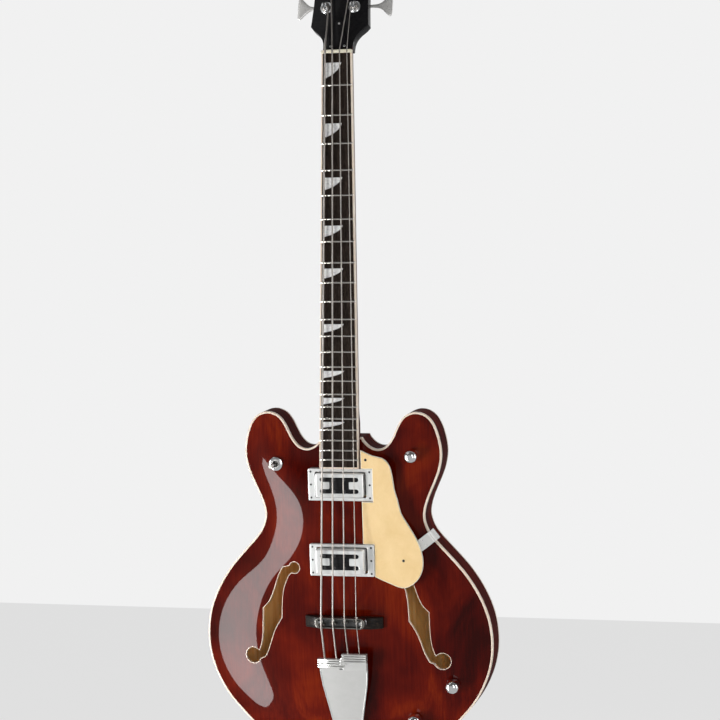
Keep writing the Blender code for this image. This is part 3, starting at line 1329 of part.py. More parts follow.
def build_jack(body):
    """The output jack in the top's lower treble corner, with its round plate."""
    x, below = JACK_PLACE
    top = highest_near(x, below, JACK_PLATE_RADIUS) - CLEARANCE
    plate_front = top - JACK_PLATE_THICKNESS
    bore = JACK_BARREL_RADIUS + CLEARANCE
    plate = [(bore, plate_front), (JACK_PLATE_RADIUS, plate_front), (JACK_PLATE_RADIUS, top), (bore, top)]
    turned("jack_plate", plate, (x, 0, -below), "y", body, "chrome", 16, ring=True)
    mouth = plate_front - JACK_NOSE
    collar = JACK_BARREL_RADIUS + JACK_COLLAR
    inside_top = inside_near(x, below, collar)
    tube = [
        (JACK_BORE_RADIUS, mouth), (JACK_BARREL_RADIUS, mouth), (JACK_BARREL_RADIUS, inside_top),
        (collar, inside_top), (collar, inside_top + JACK_LENGTH), (JACK_BORE_RADIUS, inside_top + JACK_LENGTH),
    ]
    turned("jack_socket", tube, (x, 0, -below), "y", body, "nickel_steel", 12, ring=True)


def build_heel_button(body):
    """The strap button on the back of the heel, inside the neck's seat."""
    middle = -NECK_SEAT + HEEL_FLAT / 2
    build_button("strap_button_heel", (0, RIM_DEPTH - HEEL_INSET + CLEARANCE, middle), "y", 1, body)


def main():
    start_empty()
    body = add_frame("body_line", BODY)
    neck = add_frame("neck_line", NECK)
    head = add_frame("head_line", HEAD)
    over_top, before_block, behind_block = build_shell(body)
    build_block(body, before_block, behind_block)
    build_neck(neck, head, body, over_top)
    build_board(neck)
    build_nut(neck)
    build_truss_cover(head)
    for label, (side, rise) in TUNERS.items():
        build_tuner(label, side, rise, head)
    build_strings(neck)
    for which in PICKUP_PLACES:
        build_pickup(which, body, over_top)
    build_guard(body, over_top)
    build_bracket(body)
    build_bridge(body, over_top)
    foot_face = build_tailpiece(body)
    build_button("strap_button_end", (0, FOOT_DEPTH / 2, foot_face - CLEARANCE), "z", -1, body)
    build_heel_button(body)
    for label, place in KNOBS.items():
        build_knob(label, place, body)
    build_switch(body)
    build_jack(body)


main()
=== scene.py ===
"""The looks of a semi-hollow electric bass guitar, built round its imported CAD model.

Metres, in the CAD's frame: +X is the treble side, +Y runs from the front to the back, +Z up the neck.
"""

from math import acos, ceil, copysign, cos, degrees, pi, radians, sin, sqrt, tan

import bmesh
import bpy
import numpy as np
from mathutils import Matrix, Vector
from mathutils.geometry import delaunay_2d_cdt


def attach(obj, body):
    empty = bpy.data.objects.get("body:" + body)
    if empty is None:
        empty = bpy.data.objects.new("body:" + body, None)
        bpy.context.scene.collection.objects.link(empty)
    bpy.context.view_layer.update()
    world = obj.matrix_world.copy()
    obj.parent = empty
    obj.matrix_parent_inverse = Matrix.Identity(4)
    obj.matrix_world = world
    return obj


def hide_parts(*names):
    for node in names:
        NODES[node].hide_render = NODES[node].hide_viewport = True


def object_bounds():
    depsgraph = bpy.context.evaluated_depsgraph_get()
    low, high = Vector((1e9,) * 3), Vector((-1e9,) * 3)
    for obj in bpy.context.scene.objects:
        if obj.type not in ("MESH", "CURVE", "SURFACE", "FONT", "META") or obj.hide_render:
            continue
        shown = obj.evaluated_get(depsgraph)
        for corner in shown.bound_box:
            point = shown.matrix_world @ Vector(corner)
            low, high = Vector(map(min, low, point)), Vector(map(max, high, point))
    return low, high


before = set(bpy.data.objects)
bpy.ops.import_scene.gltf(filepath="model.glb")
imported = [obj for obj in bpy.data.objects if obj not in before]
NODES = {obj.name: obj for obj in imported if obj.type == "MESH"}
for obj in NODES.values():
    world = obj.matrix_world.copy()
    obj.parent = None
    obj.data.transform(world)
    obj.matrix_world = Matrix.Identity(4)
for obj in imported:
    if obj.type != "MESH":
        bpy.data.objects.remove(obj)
cad_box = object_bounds()

# Sizes that the CAD also has

CLEARANCE = 0.0003
SCALE_LENGTH = 0.770
FRET_COUNT = 22
FRET_WIDTH = 0.0026
FRET_HEIGHT = 0.0011
NUT_WIDTH = 0.0424
NUT_THICKNESS = 0.005
BOARD_OVERHANG = 0.012
BOARD_END_WIDTH = 0.0556
BOARD_THICKNESS = 0.006
BOARD_BINDING = 0.0018
NUT_CROWN = 0.6
NUT_SHOULDER = 0.0008
NUT_SLOT_SIDE = 0.0012
NECK_DEPTH_AT_NUT = 0.0155
NECK_DEPTH_AT_HEEL = 0.0185
NECK_ANGLE = radians(5.72)
NECK_ROUNDNESS = 0.75
THROAT_LENGTH = 0.016
THROAT_SLOPE = 1.15
HEEL_LENGTH = 0.060
HEEL_ROUNDNESS = 0.6
HEEL_BACK_WIDTH = 0.034
HEEL_SWELL = ((0, 0), (0.40, 0.12), (0.65, 0.40), (0.85, 0.75), (1, 1))
HEEL_SIDE_INSET = 0.0015
HEEL_INSET = 0.002
HEEL_FLAT = 0.018
HEAD_ANGLE = radians(15)
HEAD_THICKNESS = 0.015
HEAD_LENGTH = 0.166
HEAD_CORNER_WIDTH = 0.082
HEAD_CORNER_RISE = 0.036
HEAD_WAIST_WIDTH = 0.076
HEAD_TOP_WIDTH = 0.084
COVER_LENGTH = 0.043
COVER_WIDTH = 0.026
COVER_THICKNESS = 0.002
TUNER_SPREAD = 0.040
FIRST_TUNER = 0.0625
TUNER_PITCH = 0.048
POST_RADIUS = 0.004
POST_WAIST_RADIUS = 0.0034
POST_HEIGHT = 0.012
POST_WAIST_TOP = 0.0040
POST_WAIST_END = 0.0087
POST_SLOT = 0.0022
POST_SLOT_DEPTH = 0.0055
WRAP_BELOW_TOP = 0.0056
GEAR_RADIUS = 0.0062
GEAR_THICKNESS = 0.004
GEAR_STANDOFF = 0.005
WORM_RADIUS = 0.0028
WORM_LENGTH = 0.011
KEY_SHAFT_RADIUS = 0.0021
KEY_REACH = 0.0245
KEY_WIDTH = 0.0315
KEY_LENGTH = 0.023
KEY_THICKNESS = 0.005
KEY_FAN = ((0, 0.16), (0.25, 0.24), (0.46, 0.47), (0.62, 0.70), (0.74, 0.88), (0.87, 1.0), (1.0, 0.86))
BUSHING_FLANGE_RADIUS = 0.0085
BUSHING_FLANGE = 0.0015
BRIDGE_BELOW_HORNS = 0.283
BOARD_RISE = 0.0112
RIM_DEPTH = 0.0436
RIM_WALL = 0.005
PLATE_THICKNESS = 0.0045
BINDING_WIDTH = 0.0025
TOP_ARCH = 0.014
BACK_ARCH = 0.008
ARCH_BORDER = 0.006
ARCH_REACH = 0.050
BODY_HALF = (
    (0.0000, 0.4920), (0.0400, 0.4895), (0.0740, 0.4825), (0.1040, 0.4700), (0.1340, 0.4500),
    (0.1592, 0.4250), (0.1796, 0.4000), (0.1950, 0.3700), (0.2030, 0.3400), (0.2040, 0.3100),
    (0.1988, 0.2800), (0.1863, 0.2500), (0.1668, 0.2200), (0.1445, 0.1950), (0.1225, 0.1700),
    (0.1142, 0.1490), (0.1165, 0.1300), (0.1244, 0.1100), (0.1352, 0.0850), (0.1400, 0.0600),
    (0.1365, 0.0350), (0.1285, 0.0150), (0.1180, 0.0050), (0.1055, 0.0018), (0.0940, 0.0045),
    (0.0860, 0.0105), (0.0785, 0.0220), (0.0720, 0.0360), (0.0620, 0.0490), (0.0505, 0.0530),
    (0.0390, 0.0490), (0.0315, 0.0415),
)
NECK_SEAT_HALF_WIDTH = 0.0290
NECK_SEAT = 0.0370
F_OUTER_FLANK = (
    (0.1262, 0.3370), (0.1215, 0.3240), (0.1192, 0.3050), (0.1182, 0.2760), (0.1085, 0.2655),
    (0.1010, 0.2480), (0.0950, 0.2300), (0.0885, 0.2180),
)
F_INNER_FLANK = (
    (0.0800, 0.2290), (0.0868, 0.2450), (0.0900, 0.2640), (0.0912, 0.2885), (0.1000, 0.3020),
    (0.1065, 0.3175), (0.1118, 0.3330), (0.1180, 0.3450),
)
F_CORNER = 3
F_UPPER_EYE = (0.0712, 0.2180)
F_UPPER_EYE_RADIUS = 0.0078
F_LOWER_EYE = (0.1355, 0.3440)
F_LOWER_EYE_RADIUS = 0.0112
STRINGS = (
    ("e", 0.00267, "bass_lower"), ("a", 0.00216, "bass_upper"),
    ("d", 0.00165, "treble_upper"), ("g", 0.00114, "treble_lower"),
)
NUT_SPACING = 0.0102
BRIDGE_SPACING = 0.0165
NUT_ACTION = 0.0019
BRIDGE_ACTION = 0.0055
SADDLE_SETBACKS = (0.0100, 0.0080, 0.0060, 0.0040)
NECK_PICKUP_GAP = 0.0010
BRIDGE_PICKUP_GAP = 0.0540
RING_WIDTH = 0.0916
RING_LENGTH = 0.0445
RING_HEIGHTS = {"neck": 0.0150, "bridge": 0.0190}
PICKUP_WIDTH = 0.0675
PICKUP_LENGTH = 0.0334
PICKUP_GAP = 0.0012
RING_CORNER = 0.0020
COVER_CORNER = 0.0025
COVER_SKIRT = 0.0060
COVER_WALL = 0.0008
STRING_GAP = 0.0030
WINDOW_WIDTH = 0.0550
WINDOW_LENGTH = 0.0221
WINDOW_WAIST = 0.0280
WINDOW_ARM = 0.0060
POLE_ROWS = 0.0166
POLE_SPACING = 0.0141
CAVITY_FLOOR = 0.012
GUARD_FRONT = 0.0180
GUARD_THICKNESS = 0.0025
GUARD_NECK_EDGE = 0.0305
GUARD_TOP = -0.177
GUARD_CURVE = (
    (0.0470, -0.127), (0.0607, -0.106), (0.0697, -0.049), (0.0740, 0.042), (0.0767, 0.180),
    (0.0808, 0.277), (0.0851, 0.400), (0.0935, 0.498), (0.1029, 0.604), (0.1105, 0.718),
    (0.1142, 0.839), (0.1120, 0.947), (0.1050, 1.028), (0.0940, 1.085), (0.0830, 1.099),
    (0.0658, 1.059), (0.0534, 1.024),
)
GUARD_SPACER = (0.0375, -0.088)
GUARD_SPACER_RADIUS = 0.0035
BRACKET_PLACE = 0.1720
BRACKET_WIDTH = 0.0155
BRACKET_THICKNESS = 0.0015
BRACKET_REACH = 0.026
BRACKET_LEG = 0.012
BRIDGE_BASE_WIDTH = 0.1100
BRIDGE_BASE_SHIFT = 0.0030
BRIDGE_BASE_LENGTH = 0.0155
BRIDGE_BASE_TOP = 0.0260
BRIDGE_BASE_END = 0.0195
BRIDGE_SHOULDER = 0.72
BRIDGE_FOOT = 0.030
BRIDGE_ARCH = 0.003
BAR_WIDTH = 0.0705
BAR_LENGTH = 0.0150
BAR_HEIGHT = 0.0090
BAR_ROUND = 0.42
BAR_END_WALL = 0.0050
BAR_SIDE_WALL = 0.00225
BAR_RECESS = 0.0040
BAR_SHIFT = 0.0010
SADDLE_RISE = 0.0034
SADDLE_WIDTH = 0.0090
SADDLE_LENGTH = 0.0030
WHEEL_SPREAD = 0.0580
WHEEL_RADIUS = 0.0068
WHEEL_THICKNESS = 0.0025
WHEEL_POST_RADIUS = 0.0025
WHEEL_POST_SINK = 0.0080
ANCHOR_FRONT = 0.0340
ANCHOR_RADIUS = 0.0048
ANCHOR_PLACES = (0.3440, 0.3365)
TAILPIECE_THICKNESS = 0.0025
TAILPIECE_HALF = (
    (0.0345, 0.3440), (0.0340, 0.3600), (0.0318, 0.3800), (0.0268, 0.4050), (0.0222, 0.4300),
    (0.0180, 0.4580), (0.0158, 0.4800),
)
TAILPIECE_FOOT = 0.0060
FOOT_DEPTH = 0.0380
FOOT_THICKNESS = 0.0020
FOOT_HINGE_RADIUS = 0.0025
KNOBS = {
    "master_volume": (0.1000, 0.0610), "neck_volume": (0.1495, 0.3780), "bridge_volume": (0.0945, 0.4280),
}
KNOB_RADIUS = 0.0098
KNOB_HEIGHT = 0.0165
KNOB_GAP = 0.0008
SHAFT_RADIUS = 0.0030
POT_NUT_RADIUS = 0.0062
POT_NUT_HEIGHT = 0.0022
POT_BUSH_RADIUS = 0.0040
SWITCH_PLACE = (-0.0945, 0.0740)
SWITCH_NUT_RADIUS = 0.0098
SWITCH_NUT_HEIGHT = 0.0024
SWITCH_BUSH_RADIUS = 0.0058
SWITCH_BORE_RADIUS = 0.0044
SWITCH_LEVER_RADIUS = 0.0016
SWITCH_TIP_RADIUS = 0.0032
SWITCH_LEVER_LENGTH = 0.0230
SWITCH_MOUTH_RISE = 0.0006
SWITCH_PIVOT_DEPTH = 0.0062
JACK_PLACE = (0.0620, 0.4560)
JACK_BARREL_RADIUS = 0.0047
JACK_PLATE_RADIUS = 0.0120
JACK_PLATE_THICKNESS = 0.0016
BUTTON_RADIUS = 0.0075
BUTTON_WAIST_RADIUS = 0.0040
BUTTON_LENGTH = 0.0120
HANGER_DEPTH = 0.0135
HANGER_RISE = 0.0150

# Sizes of the detail that only this script has

PLATE_SPACING = 0.0055
F_BINDING = 0.0008
INLAY_FRETS = (1, 3, 5, 7, 9, 12, 15, 17, 19)
SIDE_DOT_FRETS = (3, 5, 7, 9, 12, 15, 17, 19, 21)
RIB_PITCH = 0.0033
RIB_COUNT = 4
RIB_TOPS = (0.3387, 0.3312)
CLOSED_RADIUS = 0.00001
SCREW_SINK = 0.0001
COVER_SCREWS = ((0, 0.0385), (-0.00985, 0.0051), (0.00985, 0.0051))
COVER_BEVEL = 0.0014
RING_LIP = 0.0032
GUARD_BEVEL = 0.0009
GUARD_SCREW = (0.0869, 0.2037)
BOARD_BEVEL = 0.0004
OCTAVE = 12
FRET_SECTIONS = ((-1, 0.35), (-0.985, 0.85), (-0.97, 1), (0.97, 1), (0.985, 0.85), (1, 0.35))
INLAY_SPAN = (0.29, 0.79)
INLAY_EDGE = ((0.10, 0), (0.66, 0), (0.60, 0.28), (0.48, 0.56), (0.32, 0.80), (0.10, 1))
SADDLE_SECTIONS = (
    (-1, 0.0004), (-0.93, 0), (-0.2, 0), (-0.08, 0.0003), (0.08, 0.0003), (0.2, 0), (0.93, 0), (1, 0.0004),
)
KNOB_DOME = (
    (0.955, 0), (0.99, 0.05), (1, 0.13), (0.985, 0.40), (0.94, 0.60), (0.85, 0.78), (0.68, 0.905),
    (0.42, 0.98), (0.15, 0.999),
)
SWITCH_TIP = ((0.72, 0.48), (0.84, 0.36), (0.98, 0.20), (1, 0.12), (0.86, 0.045), (0.5, 0.006), (0.1, 0))


def fret_place(fret):
    """The distance from the nut to a fret."""
    return SCALE_LENGTH * (1 - 2 ** (-fret / OCTAVE))


def between(start, end, share):
    """The value that is a share of the way from the start to the end."""
    return start + (end - start) * share


BOARD_LENGTH = fret_place(FRET_COUNT) + BOARD_OVERHANG
BODY_JOIN = SCALE_LENGTH - BRIDGE_BELOW_HORNS
PICKUP_PLACES = {
    "neck": BOARD_LENGTH + NECK_PICKUP_GAP + RING_LENGTH / 2,
    "bridge": SCALE_LENGTH - BRIDGE_PICKUP_GAP - RING_LENGTH / 2,
}
NECK_TILT = Matrix.Rotation(-NECK_ANGLE, 4, "X")
NECK = NECK_TILT @ Matrix.Translation((0, -HANGER_DEPTH, -HANGER_RISE))
BODY = Matrix.Translation(NECK @ Vector((0, BOARD_RISE, -BODY_JOIN)))
NUT_SHELF = BOARD_THICKNESS + CLEARANCE
HEAD = NECK @ Matrix.Translation((0, NUT_SHELF, NUT_THICKNESS)) @ Matrix.Rotation(-HEAD_ANGLE, 4, "X")
BODY_FROM_NECK = BODY.inverted() @ NECK
NECK_FROM_BODY = BODY_FROM_NECK.inverted()
NECK_FROM_HEAD = NECK.inverted() @ HEAD

# Materials


class Nodes:
    """A node tree. Each input is set to a value or linked to another node's output."""

    def __init__(self, tree):
        self.tree = tree

    def put(self, node, values):
        for key, value in values.items():
            if isinstance(value, bpy.types.NodeSocket):
                self.tree.links.new(value, node.inputs[key])
            else:
                node.inputs[key].default_value = value

    def node(self, kind, values=None, out=0, **settings):
        """A new node's output."""
        made = self.tree.nodes.new(kind)
        for key, value in settings.items():
            setattr(made, key, value)
        self.put(made, values or {})
        return made.outputs[out]

    def mix(self, share, first, second):
        """The number that is share of the way from the first to the second."""
        return self.node("ShaderNodeMix", {"Factor": share, "A": first, "B": second})

    def larger(self, first, second):
        return self.node("ShaderNodeMath", {0: first, 1: second}, operation="MAXIMUM")

    def background_rays(self):
        """Two outputs: one for the camera's rays, also through glass, and one for glossy rays."""
        path = self.node("ShaderNodeLightPath").node.outputs
        return self.larger(path["Is Camera Ray"], path["Is Transmission Ray"]), path["Is Glossy Ray"]


class Finish(Nodes):
    """A Principled material whose colour, roughness and relief come from nodes."""

    def __init__(self, name, **settings):
        self.material = bpy.data.materials.new(name)
        self.material.use_nodes = True
        super().__init__(self.material.node_tree)
        self.shader = self.tree.nodes["Principled BSDF"]
        self.put(self.shader, {key.replace("_", " "): value for key, value in settings.items()})
        self.place = self.node("ShaderNodeTexCoord", out="Object")

    def noise(self, scale, detail, roughness=0.5, distortion=0.0):
        """Noise at one scale, or at a scale for each axis."""
        place = self.place
        if isinstance(scale, tuple):
            place, scale = self.node("ShaderNodeMapping", {"Vector": place, "Scale": scale}), 1
        return self.node("ShaderNodeTexNoise", {
            "Vector": place, "Scale": scale, "Detail": detail, "Roughness": roughness,
            "Distortion": distortion,
        })

    def colour(self, factor, stops):
        ramp = self.node("ShaderNodeValToRGB", {"Fac": factor})
        elements = ramp.node.color_ramp.elements
        while len(elements) < len(stops):
            elements.new(0.5)
        for element, (position, colour) in zip(elements, stops):
            element.position = position
            element.color = (*colour, 1)
        self.put(self.shader, {"Base Color": ramp})

    def roughness(self, factor, low, high):
        spread = self.node("ShaderNodeMapRange", {"Value": factor, "To Min": low, "To Max": high})
        self.put(self.shader, {"Roughness": spread})

    def relief(self, height, depth, strength):
        bump = self.node("ShaderNodeBump", {"Height": height, "Distance": depth, "Strength": strength})
        self.put(self.shader, {"Normal": bump})


def patterned(name, stops, patterns, share=0.0, rough=None, relief=None, **settings):
    """A material coloured along one noise, or along a blend of two by a share. The last noise also drives its
    roughness, from one value to another, and its relief, with a depth and a strength."""
    made = Finish(name, **settings)
    drivers = [made.noise(*pattern) for pattern in patterns]
    made.colour(made.mix(share, *drivers) if share else drivers[0], stops)
    if rough:
        made.roughness(drivers[-1], *rough)
    if relief:
        made.relief(drivers[-1], *relief)
    return made.material


def celluloid(name, dark, light, roughness):
    """Aged plastic: faint clouds in the colour and fine scuffs in the gloss."""
    return patterned(
        name, ((0.34, dark), (0.66, light)), [(38, 4, 0.6, 0.5), ((700, 700, 260), 4, 0.7)], 0.2,
        (roughness * 0.8, roughness * 1.6), Coat_Weight=0.25, Coat_Roughness=0.08, Subsurface_Weight=0.06,
        Subsurface_Radius=(0.002, 0.0012, 0.0006), Subsurface_Scale=0.5,
    )


def black_gloss(name, roughness):
    return patterned(
        name, ((0.35, (0.006, 0.006, 0.007)), (0.7, (0.014, 0.013, 0.014))), [((220, 220, 500), 4, 0.7)],
        rough=(roughness, roughness * 1.7), Coat_Weight=0.15, Coat_Roughness=0.03, Specular_IOR_Level=0.1,
    )


def chrome(name="chrome_look", low=0.05, high=0.13, tint=(0.90, 0.91, 0.92), metallic=1.0):
    """Plated metal with a faint haze of wear. Satin plating is less metallic."""
    stops = (0.3, tuple(c * 0.95 for c in tint)), (0.7, tint)
    return patterned(name, stops, [((95, 95, 140), 5, 0.65, 0.6)], rough=(low, high), Metallic=metallic)


def brushed(name, low, high, dark, light):
    """Metal with fine brushed lines."""
    stops = (0.3, dark), (0.7, light)
    lines = [((900, 900, 60), 3, 0.6)]
    return patterned(name, stops, lines, rough=(low, high), relief=(0.00002, 0.4), Metallic=1.0)


def string_wire():
    """Round windings over a core: fine ridges across the string, with painted shade darkening the grooves
    between them.
    """
    made = Finish("string_wire_look", Metallic=1.0)
    bands = {"Vector": made.place, "Scale": 520, "Distortion": 0.0}
    wave = made.node("ShaderNodeTexWave", bands, "Fac", bands_direction="Z")
    wear = made.noise((60, 60, 40), 3, 0.6)
    # The colour is dark where the wave is low, in the grooves between windings: painted shade.
    made.colour(made.mix(0.35, wave, wear), ((0.2, (0.22, 0.20, 0.18)), (0.7, (0.66, 0.62, 0.58))))
    made.roughness(wear, 0.24, 0.36)
    made.relief(wave, 0.00006, 0.8)
    return made.material


# Wine lacquer over figured maple: broad light and dark patches, and fine grain along the body
WINE = patterned(
    "wine_lacquer_look",
    ((0.33, (0.022, 0.0005, 0.0002)), (0.45, (0.054, 0.0013, 0.0003)),
     (0.56, (0.100, 0.0045, 0.0006)), (0.71, (0.20, 0.018, 0.0014))),
    [((13, 13, 8), 3, 0.55, 0.8), ((420, 420, 14), 5, 0.65)], 0.22,
    Roughness=0.38, Specular_IOR_Level=0.06, Specular_Tint=(1, 0.16, 0.06, 1),
    Coat_Weight=1.0, Coat_Roughness=0.025, Coat_IOR=1.24,
)
RIM = patterned(
    "rim_lacquer_look",
    ((0.32, (0.024, 0.0010, 0.0006)), (0.52, (0.062, 0.0030, 0.0014)), (0.70, (0.12, 0.008, 0.003))),
    [((10, 30, 10), 3, 0.55, 0.4), ((300, 420, 14), 5, 0.65)], 0.3,
    Roughness=0.5, Specular_IOR_Level=0.0, Coat_Weight=0.09, Coat_Roughness=0.04, Coat_IOR=1.40,
)
BARE = patterned(
    "bare_maple_look",
    ((0.30, (0.82, 0.44, 0.13)), (0.50, (0.95, 0.58, 0.21)), (0.70, (0.98, 0.68, 0.30))),
    [((240, 240, 7), 6, 0.6, 0.3)], relief=(0.0002, 0.5), Roughness=0.75, Specular_IOR_Level=0.1,
)
ROSEWOOD = patterned(
    "rosewood_look",
    ((0.34, (0.007, 0.004, 0.003)), (0.50, (0.020, 0.014, 0.011)), (0.64, (0.044, 0.031, 0.024))),
    [((500, 500, 12), 6, 0.65, 0.3), ((1700, 1700, 60), 2)], 0.45, (0.62, 0.42), (0.00012, 0.7),
    Specular_IOR_Level=0.06,
)
EBONY = patterned(
    "ebony_look",
    ((0.35, (0.006, 0.005, 0.005)), (0.55, (0.016, 0.012, 0.010)), (0.72, (0.045, 0.03, 0.022))),
    [((14, 700, 700), 6, 0.6, 0.2)], rough=(0.28, 0.42), relief=(0.00008, 0.5), Specular_IOR_Level=0.15,
)
BINDING = celluloid("binding_look", (0.80, 0.64, 0.50), (0.90, 0.78, 0.66), 0.2)
GUARD = celluloid("guard_look", (0.775, 0.55, 0.257), (0.85, 0.625, 0.325), 0.26)
GUARD_EDGE = celluloid("guard_edge_look", (0.86, 0.78, 0.62), (0.92, 0.86, 0.72), 0.3)
BONE = celluloid("bone_look", (0.74, 0.68, 0.50), (0.86, 0.82, 0.68), 0.3)
TIP = celluloid("switch_tip_look", (0.74, 0.72, 0.66), (0.86, 0.85, 0.80), 0.2)
PEARL = patterned(
    "pearl_look",
    ((0.30, (0.50, 0.52, 0.54)), (0.44, (0.74, 0.72, 0.74)), (0.56, (0.90, 0.90, 0.87)),
     (0.72, (0.70, 0.75, 0.78))),
    [((150, 150, 230), 3, 0.6, 2.2)], Roughness=0.2, Coat_Weight=0.6, Coat_Roughness=0.04, Metallic=0.05,
)
BLACK_LACQUER = black_gloss("black_lacquer_look", 0.10)
# Black plastic, also used for black marks of painted shade in the slots of screws, poles and wheel posts.
BLACK_PLASTIC_AND_SHADE = black_gloss("black_plastic_and_shade_look", 0.22)
CHROME = chrome()
HARDWARE = chrome("hardware_look", 0.10, 0.20, (0.84, 0.84, 0.82), 0.68)
PLATED = chrome("pickup_plating_look", 0.10, 0.20, (0.93, 0.94, 0.93), 0.5)
SATIN = chrome("satin_look", 0.22, 0.34, (0.80, 0.79, 0.77), 0.35)
AGED = chrome("aged_look", 0.16, 0.30, (0.25, 0.24, 0.22), 0.95)
# Dark steel, also used for painted shade: ring screws, the bridge bar's recess floor, the tailpiece's lines
# and slot.
DARK_STEEL_AND_SHADE = chrome("dark_steel_and_shade_look", 0.25, 0.4, (0.07, 0.07, 0.07), 0.9)
NICKEL = brushed("nickel_look", 0.26, 0.40, (0.62, 0.61, 0.60), (0.82, 0.81, 0.80))
STEEL = brushed("steel_look", 0.28, 0.45, (0.34, 0.33, 0.32), (0.55, 0.54, 0.52))
FRET_WIRE = chrome("fret_look", 0.10, 0.20, (0.80, 0.77, 0.72))
WIRE = string_wire()

# Plane curves


def through(points, turn=4.0):
    """A smooth curve through the points, with more points where it turns more."""
    points = [Vector(p) for p in points]
    curve = []
    for i, (start, end) in enumerate(zip(points, points[1:])):
        before = points[i - 1] if i else start * 2 - end
        after = points[i + 2] if i + 2 < len(points) else end * 2 - start
        chord = (end - start).length
        first = (end - before).normalized() * chord
        last = (after - start).normalized() * chord
        steps = max(2, ceil(degrees(first.angle(last)) / turn))
        for u in (k / steps for k in range(steps)):
            curve.append(
                start * (2 * u**3 - 3 * u**2 + 1) + first * (u**3 - 2 * u**2 + u)
                + end * (3 * u**2 - 2 * u**3) + last * (u**3 - u**2)
            )
    return curve + points[-1:]


def arc(centre, radius, begin, end, steps):
    """Points on an arc, its ends included; angles in degrees, from +x towards +y."""
    angles = [radians(begin + (end - begin) * k / steps) for k in range(steps + 1)]
    return [Vector(centre) + radius * Vector((cos(a), sin(a))) for a in angles]


def circle(centre, radius, sides):
    return arc(centre, radius, 0, 360 * (1 - 1 / sides), sides - 1)


def rounded_box(width, length, radius, centre=(0, 0), steps=6):
    x, y = width / 2 - radius, length / 2 - radius
    corners = (x, y, 0), (-x, y, 90), (-x, -y, 180), (x, -y, 270)
    arcs = [arc((centre[0] + u, centre[1] + v), radius, a, a + 90, steps) for u, v, a in corners]
    return sum(arcs, [])


def edges(loop):
    """Each point of a closed loop with the next."""
    return list(zip(loop, loop[1:] + loop[:1]))


def inset(loop, distance):
    """The closed loop moved inwards by the distance, or outwards where it is negative."""
    side = copysign(1, sum(a.x * b.y - b.x * a.y for a, b in edges(loop))) * distance
    moved = []
    for before, point, after in zip(loop[-1:] + loop[:-1], loop, loop[1:] + loop[:1]):
        first = (point - before).normalized()
        last = (after - point).normalized()
        normal = Vector((-first.y - last.y, first.x + last.x)).normalized()
        moved.append(point + normal * side / max(0.5, normal.dot(Vector((-first.y, first.x)))))
    return moved


def mirrored(loop):
    return [Vector((-p.x, p.y)) for p in reversed(loop)]


def down(points):
    """Turns distances below the horns into z."""
    return [Vector((x, -below)) for x, below in points]


def body_outline():
    half = through(down(BODY_HALF))
    seat = Vector((NECK_SEAT_HALF_WIDTH, -NECK_SEAT))
    return half + [seat] + mirrored(half[1:] + [seat])


def f_hole_outline():
    """The treble f-hole: its outer flank upwards, its upper eye, its inner flank and its lower eye."""
    upper_eye, lower_eye = down((F_UPPER_EYE, F_LOWER_EYE))
    upper = arc(upper_eye, F_UPPER_EYE_RADIUS, 15, 300, 40)
    lower = arc(lower_eye, F_LOWER_EYE_RADIUS, 200, 480, 44)
    flanks = [
        through(flank[: F_CORNER + 1])[:-1] + through(flank[F_CORNER:])
        for flank in (down(F_OUTER_FLANK), down(F_INNER_FLANK))
    ]
    return flanks[0] + upper + flanks[1] + lower


def inside(points, loop):
    """Which of the points lie inside the closed loop."""
    found = np.zeros(len(points), bool)
    x, y = points[:, 0], points[:, 1]
    for a, b in edges(loop):
        if a.y != b.y:
            crosses = (a.y > y) != (b.y > y)
            found ^= crosses & (x < a.x + (b.x - a.x) * (y - a.y) / (b.y - a.y))
    return found


def distance(points, loop):
    """How far each point is from the closed loop."""
    nearest = np.full(len(points), 9.0)
    for a, b in edges(loop):
        start, along = np.array(a), np.array(b - a)
        share = np.clip(((points - start) @ along) / max(1e-14, along @ along), 0, 1)
        gap = points - start - share[:, None] * along
        nearest = np.minimum(nearest, np.hypot(gap[:, 0], gap[:, 1]))
    return nearest


def fine_line(loop, spacing=0.005):
    """Points along the closed loop, and the length that each stands for."""
    samples, lengths = [], []
    for a, b in edges(loop):
        count = max(1, round((b - a).length / spacing))
        samples += [tuple(a.lerp(b, (k + 0.5) / count)) for k in range(count)]
        lengths += [(b - a).length / count] * count
    return np.array(samples), np.array(lengths)


OUTLINE = body_outline()
F_HOLE = f_hole_outline()
EDGE_SAMPLES, EDGE_LENGTHS = fine_line(OUTLINE)

# The arch of the top and of the back


def arch(points, rise):
    """The height of the arch over each point, from its smooth distance to the edge."""
    points = np.array([tuple(p) for p in points], float)
    gap = ((points[:, None, :] - EDGE_SAMPLES[None]) ** 2).sum(2)
    pull = (EDGE_LENGTHS / np.maximum(gap**2, 1e-12)).sum(1)
    depth = np.maximum(0, (2 / pi * pull) ** (-1 / 3) - ARCH_BORDER)
    return rise * (1 - np.exp(-((depth / ARCH_REACH) ** 2)))


def slopes(points, rise, step=0.0006):
    """The arch's slope along x and along z at each point."""
    moves = np.array((step, 0)), np.array((0, step))
    return [(arch(points + move, rise) - arch(points - move, rise)) / (2 * step) for move in moves]


def top_front(x, z):
    return -float(arch([(x, z)], TOP_ARCH)[0])


def laid(loop, depth=0.0):
    """The loop laid on the top's face, or that much behind it."""
    return [(p.x, depth - height, p.y) for p, height in zip(loop, arch(loop, TOP_ARCH))]


def fronts_under(x, below, radius):
    """The front-most and back-most y of the top under a round piece."""
    heights = -arch([*circle((x, -below), radius, 24), (x, -below)], TOP_ARCH)
    return float(heights.min()), float(heights.max())


# Shapes, as lists of points and faces


def upright(loop, y, offset=0.0):
    """The plane loop, moved inwards by the offset, at a depth."""
    return [(p.x, y, p.y) for p in inset(loop, offset)]


def level(points, below):
    """Points in x and y, at a distance below the nut."""
    return [Vector((x, y, -below)) for x, y in points]


